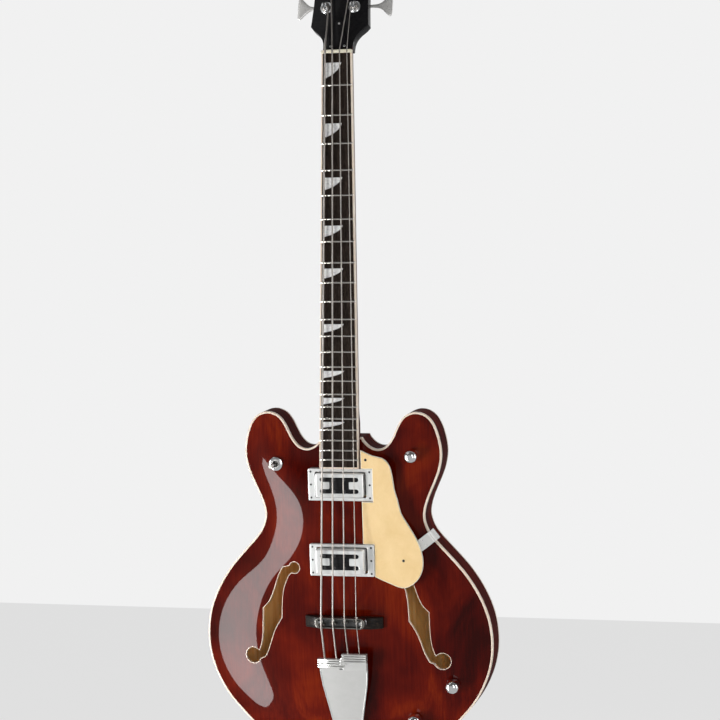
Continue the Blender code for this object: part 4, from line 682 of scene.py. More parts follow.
def skin(loops, ring=False, capped=True):
    """A skin over equal loops in turn, closed by its ends' faces or joined to a ring."""
    size = len(loops[0])
    points = [Vector(p) for loop in loops for p in loop]
    starts = list(range(0, len(points), size))
    faces = []
    if capped and not ring:
        faces += [tuple(range(size)), tuple(range(starts[-1], len(points)))]
    for i, j in edges(starts) if ring else zip(starts, starts[1:]):
        faces += [(i + a, i + b, j + b, j + a) for a, b in edges(list(range(size)))]
    return points, faces


def scaled(profile, radius, height, start=0.0):
    """The profile with its radii and heights scaled, from a starting height."""
    return [(radius * r, start + height * h) for r, h in profile]


def turned(profile, centre, axis="y", sides=40, ring=False, knurl=0.0):
    """A profile of (radius, height) turned about a line. Knurl is how deep every other line of it is cut."""
    loops = []
    for radius, height in profile:
        loop = []
        for k in range(sides):
            r = radius - knurl * (k % 2)
            spot = [r * cos(2 * pi * k / sides), r * sin(2 * pi * k / sides)]
            spot.insert("xyz".index(axis), height)
            loop.append(Vector(centre) + Vector(spot))
        loops.append(loop)
    return skin(loops, ring)


def filled(outline, holes=(), extra=()):
    """Triangles over an outline with holes, and the points that they use."""
    points, runs = [], []
    for loop in (outline, *holes):
        runs += edges(list(range(len(points), len(points) + len(loop))))
        points += loop
    found, _, faces, *_ = delaunay_2d_cdt(points + list(extra), runs, [], 1, 1e-7)
    found = np.array([tuple(p) for p in found])
    centres = found[np.array(faces)].mean(1)
    kept = inside(centres, outline)
    for hole in holes:
        kept &= ~inside(centres, hole)
    return found, [tuple(face) for face, keep in zip(faces, kept) if keep]


def sheet(outline, y, holes=()):
    """A flat face over an outline with holes, at a depth."""
    found, faces = filled(outline, holes)
    return [Vector((x, y, z)) for x, z in found], faces


def joined(shapes):
    points, faces = [], []
    for more_points, more_faces in shapes:
        faces += [tuple(i + len(points) for i in face) for face in more_faces]
        points += more_points
    return points, faces


def rounding(front, back, bevel, steps=4):
    """Offsets and depths of a plate's edge, round at both sides."""
    quarter = [pi / 2 * k / steps for k in range(steps + 1)]
    near = [(bevel * (1 - sin(a)), front + bevel * (1 - cos(a))) for a in quarter]
    return near + [(offset, front + back - y) for offset, y in reversed(near)]


def plate(outline, front, back, bevel, holes=(), steps=4):
    """A flat plate from front to back along y, with holes, whose edges are all rounded."""
    rows = rounding(front, back, bevel, steps)
    loops = [(outline, 1), *((hole, -1) for hole in holes)]
    sides = [skin([upright(loop, y, sign * d) for d, y in rows], capped=False) for loop, sign in loops]
    grown = [inset(hole, -bevel) for hole in holes]
    return joined(sides + [sheet(inset(outline, bevel), y, grown) for y in (front, back)])


def tube(path, radius, sides=14):
    """A round tube along a path."""
    loops = []
    normal = (path[1] - path[0]).orthogonal()
    turns = [2 * pi * k / sides for k in range(sides)]
    for before, point, after in zip(path[:1] + path, path, path[1:] + path[-1:]):
        along = (after - before).normalized()
        normal = (normal - along * normal.dot(along)).normalized()
        across = along.cross(normal)
        loops.append([point + radius * (normal * cos(a) + across * sin(a)) for a in turns])
    return skin(loops)


def box(low, high, bevel):
    """A box with rounded edges."""
    centre = (low[0] + high[0]) / 2, (low[2] + high[2]) / 2
    outline = rounded_box(high[0] - low[0], high[2] - low[2], bevel * 1.5, centre, 3)
    return plate(outline, low[1], high[1], bevel, steps=2)


def mesh_of(name, points, faces, numbers):
    mesh = bpy.data.meshes.new(name)
    mesh.from_pydata(points, [], faces)
    mesh.polygons.foreach_set("material_index", numbers)
    return mesh


def in_scene(name, data):
    """A new object in the scene."""
    thing = bpy.data.objects.new(name, data)
    bpy.context.scene.collection.objects.link(thing)
    return thing


def finished(name, mesh, looks, node, body):
    for look in looks:
        mesh.materials.append(look)
    thing = in_scene(name, mesh)
    if node:
        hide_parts(node)
    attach(thing, body)


def add(name, shapes, looks, node=None, body="guitar", place=BODY, sharp=32):
    """One piece from its shapes. A shape may be paired with the number of its look."""
    shapes = [entry if isinstance(entry[1], int) else (entry, 0) for entry in shapes]
    points, faces = joined(shape for shape, _ in shapes)
    numbers = [number for (_, more), number in shapes for _ in more]
    mesh = mesh_of(name, [place @ Vector(p) for p in points], faces, numbers)
    merged = bmesh.new()
    merged.from_mesh(mesh)
    bmesh.ops.remove_doubles(merged, verts=merged.verts, dist=1e-6)
    bmesh.ops.recalc_face_normals(merged, faces=merged.faces)
    merged.to_mesh(mesh)
    merged.free()
    mesh.shade_smooth()
    mesh.set_sharp_from_angle(angle=radians(sharp))
    finished(name, mesh, looks if isinstance(looks, list) else [looks], node, body)


def add_screws(name, metal, places, radius, depth=0.0006, front=-1, place=BODY):
    """Domed screw heads that face along y, each with a black cross of painted shade where its slot would be.
    """
    shapes = []
    for x, y, z in places:
        y -= front * SCREW_SINK
        dome = scaled(((1, 0), (1, 0.35), (0.82, 0.8), (0.45, 1), (0.01, 1)), radius, front * depth, y)
        shapes.append((turned(dome, (x, 0, z), "y", 24), 0))
        low, high = sorted((y + front * (depth + 0.00004), y + front * depth * 0.4))
        # The cross is a flat black mark just proud of the dome: painted shade for the slot, not a cut.
        for a, b in ((radius * 0.62, radius * 0.16), (radius * 0.16, radius * 0.62)):
            shapes.append((box((x - a, low, z - b), (x + a, high, z + b), radius * 0.032), 1))
    add(name, shapes, [metal, BLACK_PLASTIC_AND_SHADE], place=place)


# Body shell


def pickup_centre(which):
    """A pickup's middle, below the horns."""
    return -(BODY_FROM_NECK @ Vector((0, 0, -PICKUP_PLACES[which]))).z


def control_holes():
    """The holes in the top that pieces go through."""
    holes = []
    for which in PICKUP_PLACES:
        size = PICKUP_WIDTH + 2 * PICKUP_GAP, PICKUP_LENGTH + 2 * PICKUP_GAP
        holes.append(rounded_box(*size, 2 * PICKUP_GAP, (0, -pickup_centre(which)), 3))
    round_holes = [(place, POT_BUSH_RADIUS) for place in KNOBS.values()]
    round_holes += [(SWITCH_PLACE, SWITCH_BUSH_RADIUS), (JACK_PLACE, JACK_BARREL_RADIUS)]
    for (x, below), radius in round_holes:
        holes.append(circle((x, -below), radius + 2 * CLEARANCE, 24))
    return holes


def arched_plate(name, node, rise, side, holes=()):
    """An arched plate with the arch's exact normals. The side is -1 for the top and 1 for the back."""
    outline = inset(OUTLINE, BINDING_WIDTH)
    spacing = PLATE_SPACING * 1
    rows = np.arange(-0.5, 0.0, spacing * sqrt(3) / 2)
    grid = np.array([
        (x + spacing / 2 * (n % 2), z) for n, z in enumerate(rows) for x in np.arange(-0.21, 0.21, spacing)
    ])
    clear = inside(grid, outline) & (distance(grid, outline) > spacing * 0.4)
    for hole in holes:
        clear &= (distance(grid, hole) > spacing * 0.4) & ~inside(grid, hole)
    points, faces = filled(outline, holes, [Vector(p) for p in grid[clear]])
    border = 0 if side < 0 else RIM_DEPTH
    outer = np.insert(points, 1, border + side * arch(points, rise), axis=1)
    inner = outer - (0, side * PLATE_THICKNESS, 0)
    normals = np.insert(-np.stack(slopes(points, rise), 1), 1, side, axis=1)
    normals /= np.linalg.norm(normals, axis=1)[:, None]
    corners, directions = [*outer, *inner], [*normals, *(-normals)]
    skins = [face if side < 0 else face[::-1] for face in faces]
    skins += [tuple(i + len(points) for i in reversed(face)) for face in skins]
    numbers = [0] * len(faces) + [1] * len(faces)
    sides = {pair for face in faces for pair in edges(face)}
    for a, b in sides:
        if (b, a) not in sides:
            run = points[b] - points[a]
            first = len(corners)
            corners += [outer[a], outer[b], inner[b], inner[a]]
            directions += [np.array((run[1], 0, -run[0])) / max(1e-9, np.hypot(*run))] * 4
            skins.append((first, first + 1, first + 2, first + 3))
            numbers.append(1)
    mesh = mesh_of(name, [BODY @ Vector(p) for p in corners], skins, numbers)
    mesh.shade_smooth()
    if mesh.polygons[0].normal.y * side < 0:
        mesh.flip_normals()
    mesh.normals_split_custom_set_from_vertices([Vector(d) for d in directions])
    finished(name, mesh, [WINE, BARE], node, "guitar")


def band(name, node, looks, rows):
    """A band round the body, from rows of (inset, y). Its first side has the first look."""
    points, faces = skin([upright(OUTLINE, y, offset) for offset, y in rows], ring=True)
    size = len(OUTLINE)
    shapes = [((points, faces[:size]), 0), ((points, faces[size:]), len(looks) - 1)]
    add(name, shapes, looks, node)


def build_shell():
    f_holes = [F_HOLE, mirrored(F_HOLE)]
    bound = [inset(hole, -F_BINDING) for hole in f_holes]
    arched_plate("top_arched", "top_plate", TOP_ARCH, -1, bound + control_holes())
    arched_plate("back_arched", "back_plate", BACK_ARCH, 1)
    start, end = PLATE_THICKNESS, RIM_DEPTH - PLATE_THICKNESS
    rows = [(0, start), (0, end), (RIM_WALL, end), (RIM_WALL, start)]
    band("rim_bent", "body_rim", [RIM, BARE], rows)
    r = BINDING_WIDTH * 0.36
    rows = [(BINDING_WIDTH, 0), (r, 0)]
    rows += [(r * (1 - sin(a)), r * (1 - cos(a))) for a in (0.4, 0.8, 1.2, pi / 2)]
    rows += [(0, PLATE_THICKNESS), (BINDING_WIDTH, PLATE_THICKNESS)]
    band("top_binding_strip", "top_binding", [BINDING], rows)
    rows = [(offset, RIM_DEPTH - y) for offset, y in rows]
    band("back_binding_strip", "back_binding", [BINDING], rows)
    for label, hole, outer in zip(("treble", "bass"), f_holes, bound):
        lines = (outer, -0.0001), (inset(hole, -0.0003), -0.0001), (hole, 0.0002)
        lines += (hole, PLATE_THICKNESS), (outer, PLATE_THICKNESS)
        lining = skin([laid(line, depth) for line, depth in lines], ring=True)
        add(f"f_hole_binding_{label}", [lining], BINDING)


# Neck and headstock


def board_half(below):
    return between(NUT_WIDTH, BOARD_END_WIDTH, below / BOARD_LENGTH) / 2


def neck_section(half_width, depth, top, steps=36):
    """A D-shaped section in x and y, flat at the fingerboard."""
    angles = [pi * k / steps for k in range(steps + 1)]
    return [(half_width * cos(a), top + depth * abs(sin(a)) ** NECK_ROUNDNESS) for a in angles]


def heel_section(below):
    underside = (BODY_FROM_NECK @ Vector((0, NUT_SHELF, -BODY_JOIN - below))).y
    front_half, back_half = NECK_SEAT_HALF_WIDTH - HEEL_SIDE_INSET, HEEL_BACK_WIDTH / 2
    section = []
    for x, y in neck_section(1, 1, 0):
        half = between(back_half, front_half, (1 - y) ** HEEL_ROUNDNESS)
        depth = between(underside, RIM_DEPTH - HEEL_INSET, y)
        section.append(NECK_FROM_BODY @ Vector((x * half, depth, -below)))
    return section


def head_outline():
    nut, corner, top = NUT_WIDTH / 2 - CLEARANCE, HEAD_CORNER_WIDTH / 2, HEAD_TOP_WIDTH / 2
    rise, end = HEAD_CORNER_RISE, HEAD_LENGTH
    flare = through([
        (nut, 0.0), (nut + 0.0006, rise - 0.026), (nut + 0.0035, rise - 0.018),
        (corner - 0.0110, rise - 0.011), (corner - 0.0045, rise - 0.0055), (corner, rise),
    ])
    side = through([
        (corner, rise), (corner - 0.0005, rise + 0.0035),
        (HEAD_WAIST_WIDTH / 2, FIRST_TUNER + TUNER_PITCH / 2), (top, end - 0.016),
        (top - 0.005, end - 0.005), (top / 2, end - 0.001), (0, end - 0.006),
    ])
    half = flare[:-1] + side
    return half + mirrored(half[:-1])


def build_neck():
    heel_start = BODY_JOIN + NECK_SEAT - HEEL_LENGTH
    loops = []
    throat = [-THROAT_LENGTH * (1 - k / 6) for k in range(6)]
    for below in throat + [heel_start * k / 24 for k in range(25)]:
        drop = max(0, -below - NUT_THICKNESS) * tan(HEAD_ANGLE * THROAT_SLOPE)
        depth = between(NECK_DEPTH_AT_NUT, NECK_DEPTH_AT_HEEL, max(0, below / heel_start)) - drop * 0.5
        half = board_half(max(0, below)) - CLEARANCE / 2 - drop * 0.2
        loops.append(level(neck_section(half, depth, NUT_SHELF + drop), below))
    seat = NECK_SEAT - CLEARANCE
    thin, thick = loops[-1], heel_section(seat - HEEL_FLAT)
    for share, bulge in through(HEEL_SWELL, turn=1.0)[1:]:
        loop = [near.lerp(far, share) for near, far in zip(thin, thick)]
        for point, near, far in zip(loop, thin, thick):
            point.y = between(near.y, far.y, bulge)
        loops.append(loop)
    loops.append(heel_section(seat))
    add("neck_shaft", [skin(loops)], RIM, "neck", place=NECK, sharp=50)

    start, end = BODY_JOIN + NECK_SEAT - 0.001, BOARD_LENGTH - BOARD_BINDING
    tongue = []
    for below in [between(start, end, k / 8) for k in range(9)]:
        half = board_half(below) - BOARD_BINDING
        spots = level([(half * side, NUT_SHELF) for side in (1, 0.5, 0, -0.5, -1)], below)
        under = [BODY_FROM_NECK @ spot for spot in reversed(spots)]
        for spot in under:
            spot.y = top_front(spot.x, spot.z)
        tongue.append(spots + [NECK_FROM_BODY @ spot for spot in under])
    add("neck_tongue", [skin(tongue)], RIM, "neck", place=NECK)
    head = plate(head_outline(), 0, HEAD_THICKNESS, 0.0012, steps=5)
    add("headstock", [head], BLACK_LACQUER, "neck", place=HEAD)


def build_cover():
    half, tip, end = COVER_WIDTH / 2, COVER_WIDTH / 4.4, COVER_LENGTH
    rim = through([
        (half, 0.001), (half - 0.0005, 0.009), (half - 0.0040, 0.018), (tip + 0.0005, 0.027),
        (tip, end - 0.005), (tip - 0.003, end - 0.001), (0, end),
    ])
    front = -COVER_THICKNESS - CLEARANCE
    cover = plate(rim + mirrored(rim[:-1]), front, -CLEARANCE, 0.0007)
    add("truss_cover", [cover], BLACK_PLASTIC_AND_SHADE, "truss_rod_cover", place=HEAD)
    places = [(x, front, rise) for x, rise in COVER_SCREWS]
    add_screws("truss_cover_screws", NICKEL, places, 0.0016, place=HEAD)


# Fingerboard


def build_board():
    trim, back = BOARD_BINDING, BOARD_THICKNESS
    end = BOARD_LENGTH - trim
    wood = []
    for below in (0, end):
        half = board_half(below) - trim
        wood.append(level([(half, 0), (-half, 0), (-half, back), (half, back)], below))
    add("board_wood", [skin(wood)], ROSEWOOD, "fingerboard", place=NECK)

    strips = []
    for side in (-1, 1):
        loops = []
        for below in (0, BOARD_LENGTH):
            half = board_half(below)
            inner, face = half - trim, half - BOARD_BEVEL
            line = (inner, 0), (face, 0), (half, BOARD_BEVEL), (half, back), (inner, back)
            loops.append(level([(side * x, y) for x, y in line], below))
        strips.append(skin(loops))
    half = board_half(BOARD_LENGTH) - trim
    strips.append(box((-half, 0, -BOARD_LENGTH), (half, back, -end), 0.0002))
    add("board_binding", strips, BINDING, "fingerboard_binding", place=NECK)

    frets = []
    crown = [(cos(pi * k / 10), sin(pi * k / 10)) for k in range(11)]
    for below in [fret_place(fret) for fret in range(1, FRET_COUNT + 1)]:
        loops = []
        for share, size in FRET_SECTIONS:
            x, reach = share * (board_half(below) - BOARD_BEVEL), FRET_WIDTH / 2 * (0.4 + 0.6 * size)
            loops.append([(x, -FRET_HEIGHT * size * up, reach * across - below) for across, up in crown])
        frets.append(skin(loops))
    add("frets", frets, FRET_WIRE, "fingerboard", place=NECK, sharp=60)

    inlays = []
    for fret in INLAY_FRETS:
        near, far = (between(fret_place(fret - 1), fret_place(fret), share) for share in INLAY_SPAN)
        edge = []
        for share, along in INLAY_EDGE:
            below = between(near, far, along)
            edge.append(Vector(((share - 0.5) * 2 * board_half(below), -below)))
        outline = edge[:1] + through(edge[1:], turn=8.0)
        inlays.append(plate(outline, -0.00006, 0.0006, 0.00005, steps=1))
    add("inlays", inlays, PEARL, place=NECK)

    dots = []
    profile = (0.0010, 0.0002), (0.0010, -0.00004), (CLOSED_RADIUS, -0.00006)
    for fret in SIDE_DOT_FRETS:
        for shift in (-0.004, 0.004) if fret == OCTAVE else (0,):
            below = (fret_place(fret - 1) + fret_place(fret)) / 2 + shift
            dots.append(turned(profile, (-board_half(below), back / 2, -below), "x", 16))
    add("side_dots", dots, BLACK_PLASTIC_AND_SHADE, place=NECK)


def string_x(index, spacing):
    return (index - (len(STRINGS) - 1) / 2) * spacing


def build_nut():
    """The nut: its crown is higher between the strings, with a round-bottomed slot for each."""
    half = NUT_WIDTH / 2
    outline = [(half, -BOARD_THICKNESS), (half, NUT_ACTION + NUT_SHOULDER / 2)]
    for index in reversed(range(len(STRINGS))):
        gauge = STRINGS[index][1]
        x, reach = string_x(index, NUT_SPACING), gauge / 2 + CLEARANCE
        crown, floor = NUT_ACTION + gauge * NUT_CROWN, NUT_ACTION - CLEARANCE
        bank = [(reach + NUT_SLOT_SIDE, crown), (reach, crown)]
        bank += [(reach, floor + gauge * 0.25), (reach * 0.6, floor)]
        outline += [(x + across, y) for across, y in bank]
        outline += [(x - across, y) for across, y in reversed(bank)]
    outline += [(-half, NUT_ACTION + NUT_SHOULDER), (-half, -BOARD_THICKNESS)]
    shape = plate([Vector(p) for p in outline], CLEARANCE, NUT_THICKNESS - CLEARANCE, 0.00012, steps=2)
    add("nut_bone", [shape], BONE, "nut", place=NECK @ Matrix.Rotation(pi / 2, 4, "X"))


# Tuners

TUNERS = {
    "bass_lower": (-1, FIRST_TUNER), "bass_upper": (-1, FIRST_TUNER + TUNER_PITCH),
    "treble_lower": (1, FIRST_TUNER), "treble_upper": (1, FIRST_TUNER + TUNER_PITCH),
}
GEAR_FRONT = HEAD_THICKNESS + GEAR_STANDOFF


def build_tuner(label):
    side, rise = TUNERS[label]
    x = side * TUNER_SPREAD / 2
    bore, rim, lip = POST_RADIUS + CLEARANCE, BUSHING_FLANGE_RADIUS, -BUSHING_FLANGE
    profile = [
        (bore, lip), (bore + 0.0004, lip - CLEARANCE), (rim * 0.80, lip - CLEARANCE), (rim * 0.84, lip),
        (rim * 0.94, lip), (rim * 0.985, lip + 0.0003), (rim, lip * 0.5), (rim, -0.00005), (bore, -0.00005),
    ]
    bushing = turned(profile, (x, 0, rise), "y", 48, ring=True)
    add(f"bushing_{label}", [bushing], CHROME, f"tuner_bushing_{label}", place=HEAD)

    waist, top = POST_WAIST_END - POST_HEIGHT, POST_WAIST_TOP - POST_HEIGHT
    slot_floor = POST_SLOT_DEPTH - POST_HEIGHT
    profile = [
        (GEAR_RADIUS, GEAR_FRONT + GEAR_THICKNESS), (GEAR_RADIUS, GEAR_FRONT), (POST_RADIUS, GEAR_FRONT),
        (POST_RADIUS, waist), (POST_WAIST_RADIUS, waist - 0.0012), (POST_WAIST_RADIUS, slot_floor),
    ]
    shapes = [turned(profile, (x, 0, rise))]
    levels = (POST_WAIST_RADIUS, top, slot_floor), (POST_RADIUS, -POST_HEIGHT, top + 0.0004)
    for turn in (180, 0):
        for radius, near, far in levels:
            reach = degrees(acos(POST_SLOT / 2 / radius))
            prong = arc((x, rise), radius, turn - reach, turn + reach, 16)
            shapes.append(plate(prong, near, far, 0.0003, steps=2))
    add(f"post_turned_{label}", shapes, CHROME, f"tuner_post_{label}", f"post_{label}", HEAD)

    end, shaft = WORM_LENGTH / 2, KEY_SHAFT_RADIUS
    sections = [(-end, WORM_RADIUS, WORM_RADIUS), (end, WORM_RADIUS, WORM_RADIUS)]
    sections += [(end + 0.0002, shaft, shaft), (KEY_REACH - 0.006, shaft, shaft)]
    for share, width in through(KEY_FAN, turn=5.0):
        thick = KEY_THICKNESS / 2 * between(0.80, 1, min(1, max(0, (share - 0.25) / 0.4)))
        thick *= 1 - 0.30 * max(0, share - 0.9) / 0.1
        sections.append((KEY_REACH + KEY_LENGTH * share, thick, KEY_WIDTH / 2 * width))
    axis = Vector((x, GEAR_FRONT + GEAR_THICKNESS / 2, rise + GEAR_RADIUS + WORM_RADIUS + CLEARANCE))
    loops = []
    for along, thick, wide in sections:
        power = 0.62 if wide > thick * 1.6 else 1
        loop = []
        for a in [2 * pi * k / 36 for k in range(36)]:
            u = copysign(abs(cos(a)) ** power, cos(a)) * thick
            v = copysign(abs(sin(a)) ** 0.9, sin(a)) * wide
            loop.append(axis + Vector((side * along, u, v)))
        loops.append(loop)
    add(f"key_cast_{label}", [skin(loops)], SATIN, f"tuner_key_{label}", f"key_{label}", HEAD, 55)


def build_housing_screws():
    """A screw in the back of each tuner's housing."""
    into_head = HEAD.inverted()
    for label in TUNERS:
        xs, ys, zs = zip(*(into_head @ v.co for v in NODES[f"tuner_housing_{label}"].data.vertices))
        place = (min(xs) + max(xs)) / 2, max(ys), (min(zs) + max(zs)) / 2
        add_screws(f"housing_screw_{label}", DARK_STEEL_AND_SHADE, [place], 0.0021, 0.0005, 1, HEAD)


# Strings


def rounded_path(points, reach, steps=6):
    """A path whose corners are rounded off."""
    path = [points[0]]
    for before, corner, after in zip(points, points[1:], points[2:]):
        start = corner + (before - corner).normalized() * reach
        end = corner + (after - corner).normalized() * reach
        for u in [k / steps for k in range(steps + 1)]:
            path.append(start * (1 - u) ** 2 + corner * 2 * u * (1 - u) + end * u**2)
    return path + [points[-1]]


def build_strings():
    for index, (name, gauge, tuner) in enumerate(STRINGS):
        radius = gauge / 2
        at_nut, at_bridge = string_x(index, NUT_SPACING), string_x(index, BRIDGE_SPACING)
        anchor = ANCHOR_PLACES[index * 2 // len(STRINGS)] - ANCHOR_RADIUS - 2 * CLEARANCE
        side, rise = TUNERS[tuner]
        off_post = POST_WAIST_RADIUS + radius + 0.0001
        post = Vector((side * TUNER_SPREAD / 2, WRAP_BELOW_TOP - POST_HEIGHT, rise))
        path = rounded_path([
            NECK_FROM_BODY @ Vector((at_bridge, -ANCHOR_FRONT, -anchor)),
            Vector((at_bridge, -BRIDGE_ACTION - radius, -SCALE_LENGTH - SADDLE_SETBACKS[index])),
            Vector((at_nut, -NUT_ACTION - radius, NUT_THICKNESS)),
            NECK_FROM_HEAD @ (post - Vector((side * off_post, 0, 0))),
        ], 0.003)
        pitch = gauge * 1.04
        turns = min(3.0, max(0.6, (POST_WAIST_END - POST_WAIST_TOP - gauge) / pitch))
        count = ceil(turns * 22)
        for turn in [turns * k / count for k in range(1, count + 1)]:
            a = 2 * pi * turn
            sway = Vector((-side * off_post * cos(a), pitch * turn, off_post * sin(a)))
            path.append(NECK_FROM_HEAD @ (post + sway))
        add(f"wire_{name}", [tube(path, radius)], WIRE, f"string_{name}", place=NECK, sharp=80)


# Pickups


def window_outline(z, grow=0.0):
    """The H-shaped opening in a pickup's cover: four round-ended arms off a wide middle."""
    arm, turn = WINDOW_ARM / 2, 0.0012
    x, across = WINDOW_WIDTH / 2 - arm, WINDOW_LENGTH / 2 - arm
    quarter = arc((x, across), arm + grow, 90, -90, 16)
    quarter += arc((WINDOW_WAIST / 2 + grow + turn, across - arm - grow - turn), turn, 90, 180, 4)
    right = quarter + [Vector((p.x, -p.y)) for p in reversed(quarter)]
    return [Vector((p.x, p.y + z)) for p in right + [-p for p in right]]


def pickup_front(which):
    edge = PICKUP_PLACES[which] - PICKUP_LENGTH / 2
    action = between(NUT_ACTION, BRIDGE_ACTION, edge / SCALE_LENGTH)
    return (BODY_FROM_NECK @ Vector((0, -action, -edge))).y + STRING_GAP


def build_pickup(which):
    z = -pickup_centre(which)
    front = -RING_HEIGHTS[which]
    outer = rounded_box(RING_WIDTH, RING_LENGTH, RING_CORNER, (0, z))
    opening = rounded_box(PICKUP_WIDTH + 4 * PICKUP_GAP, PICKUP_LENGTH + 2 * PICKUP_GAP, RING_CORNER, (0, z))
    top = plate(outer, front, front + RING_LIP, 0.0008, [opening])
    middle = front + RING_LIP / 2
    skirt = skin([upright(outer, middle), laid(outer), laid(opening), upright(opening, middle)], ring=True)
    add(f"ring_{which}", [top, skirt], PLATED, f"pickup_ring_{which}")
    places = [(x, front, z + along) for x in (-0.0417, 0.0417) for along in (-0.018, 0, 0.018)]
    # The ring screws are near-black steel: painted shade, as if they sat deep in countersinks.
    add_screws(f"ring_screws_{which}", DARK_STEEL_AND_SHADE, places, 0.0015, 0.0005)

    front, end = pickup_front(which), CAVITY_FLOOR - COVER_SKIRT
    outline = rounded_box(PICKUP_WIDTH, PICKUP_LENGTH, COVER_CORNER, (0, z))
    window = window_outline(z)
    edge = rounding(front, front + 3 * COVER_BEVEL, COVER_BEVEL, 6)[:7]
    loops = [upright(outline, y, offset) for offset, y in edge] + [upright(outline, end)]
    loops += [upright(outline, y, COVER_WALL) for y in (end, front + COVER_BEVEL + COVER_WALL)]
    lips = [upright(window, y, -offset) for offset, y in rounding(front, front + COVER_WALL, 0.0003, 3)]
    face = sheet(inset(outline, COVER_BEVEL), front, [inset(window, -0.0003)])
    shapes = [skin(loops, capped=False), skin(lips, capped=False), face]
    add(f"cover_{which}", shapes, PLATED, f"pickup_cover_{which}")

    gap = COVER_WALL + CLEARANCE
    former = plate(inset(outline, gap), front + gap + 0.0004, CAVITY_FLOOR - CLEARANCE, 0.0004, steps=2)
    raised = plate(window_outline(z, -CLEARANCE), front + CLEARANCE, front + 0.004, 0.0002, steps=2)
    add(f"former_{which}", [former, raised], BLACK_PLASTIC_AND_SHADE, f"pickup_coil_{which}")

    head = front - 0.0001
    profile = (0.0021, head + 0.002), (0.0021, head + 0.0002), (0.0019, head), (CLOSED_RADIUS, head)
    poles, slot_shades = [], []
    for row in (z - POLE_ROWS / 2, z + POLE_ROWS / 2):
        for x in [string_x(index, POLE_SPACING) for index in range(len(STRINGS))]:
            poles.append((turned(profile, (x, 0, row), "y", 24), 0))
            # Each pole's slot is a black bar just proud of its head: painted shade, not a cut.
            low, high = (x - 0.0017, head - 0.00003, row - 0.0003), (x + 0.0017, head + 0.0002, row + 0.0003)
            slot_shades.append((box(low, high, 0.00005), 1))
    add(f"poles_{which}", poles + slot_shades, [DARK_STEEL_AND_SHADE, BLACK_PLASTIC_AND_SHADE])


# Pickguard


def build_guard():
    first = pickup_centre("neck") - RING_LENGTH / 2
    last = pickup_centre("bridge") + RING_LENGTH / 2
    curve = [(x, between(first, last, share)) for x, share in ((GUARD_NECK_EDGE, GUARD_TOP), *GUARD_CURVE)]
    ring_edge, reach = RING_WIDTH / 2 + CLEARANCE, RING_LENGTH / 2 + CLEARANCE
    tail = []
    for which in PICKUP_PLACES:
        upper, lower = pickup_centre(which) - reach, pickup_centre(which) + reach
        tail += [(GUARD_NECK_EDGE, upper), (ring_edge, upper), (ring_edge, lower), (GUARD_NECK_EDGE, lower)]
    *tail, corner, _ = tail
    outline = through(down([*curve, corner])) + down(reversed(tail))
    front, back = -GUARD_FRONT, -GUARD_FRONT + GUARD_THICKNESS
    rows = (GUARD_BEVEL, front), (0, front + GUARD_BEVEL), (0, back)
    edge = skin([upright(outline, y, offset) for offset, y in rows], capped=False)
    face = sheet(inset(outline, GUARD_BEVEL), front)
    x, below = GUARD_SPACER[0], between(first, last, GUARD_SPACER[1])
    r, floor = GUARD_SPACER_RADIUS, fronts_under(x, below, GUARD_SPACER_RADIUS)[0]
    spacer = turned([(r, back), (r, floor)], (x, 0, -below), "y", 24)
    shapes = [(face, 0), (edge, 1), (sheet(outline, back), 1), (spacer, 1)]
    add("guard_plate", shapes, [GUARD, GUARD_EDGE], "pickguard", sharp=20)
    places = (x, front, -below), (GUARD_SCREW[0], front, -GUARD_SCREW[1])
    add_screws("guard_screws", DARK_STEEL_AND_SHADE, places, 0.0019)


def build_bracket():
    """The bent strip that holds the guard's edge: under the guard, over the binding and down the rim."""
    half = through(down(BODY_HALF))
    a, b = next((a, b) for a, b in zip(half, half[1:]) if a.y <= -BRACKET_PLACE <= b.y)
    point = a.lerp(b, (-BRACKET_PLACE - a.y) / (b.y - a.y))
    along = (b - a).normalized()
    outward = Vector((along.y, -along.x))
    beside = [Vector(sample) - point for sample in EDGE_SAMPLES]
    gap = max(spot.dot(outward) for spot in beside if spot.length < BRACKET_WIDTH) + 2 * CLEARANCE
    front = -GUARD_FRONT + GUARD_THICKNESS + CLEARANCE
    t, r = BRACKET_THICKNESS, 0.003
    bend = gap + t - r, front + r
    outer = [Vector((-BRACKET_REACH, front)), *arc(bend, r, -90, 0, 8), Vector((gap + t, BRACKET_LEG))]
    inner = [Vector((gap, BRACKET_LEG)), *arc(bend, r - t, 0, -90, 8), Vector((-BRACKET_REACH, front + t))]
    loops = []
    for share, small in ((-0.5, 0.00025), (-0.485, 0), (0.485, 0), (0.5, 0.00025)):
        base = point + along * share * BRACKET_WIDTH
        section = inset(outer + inner, small)
        loops.append([(base.x + outward.x * p.x, p.y, base.y + outward.y * p.x) for p in section])
    add("bracket_strip", [skin(loops)], HARDWARE, "pickguard_bracket")
    spots = [point + along * share * BRACKET_WIDTH - outward * 0.0105 for share in (-0.26, 0.26)]
    add_screws("bracket_screws", STEEL, upright(spots, front), 0.0012, 0.0005)


# Bridge


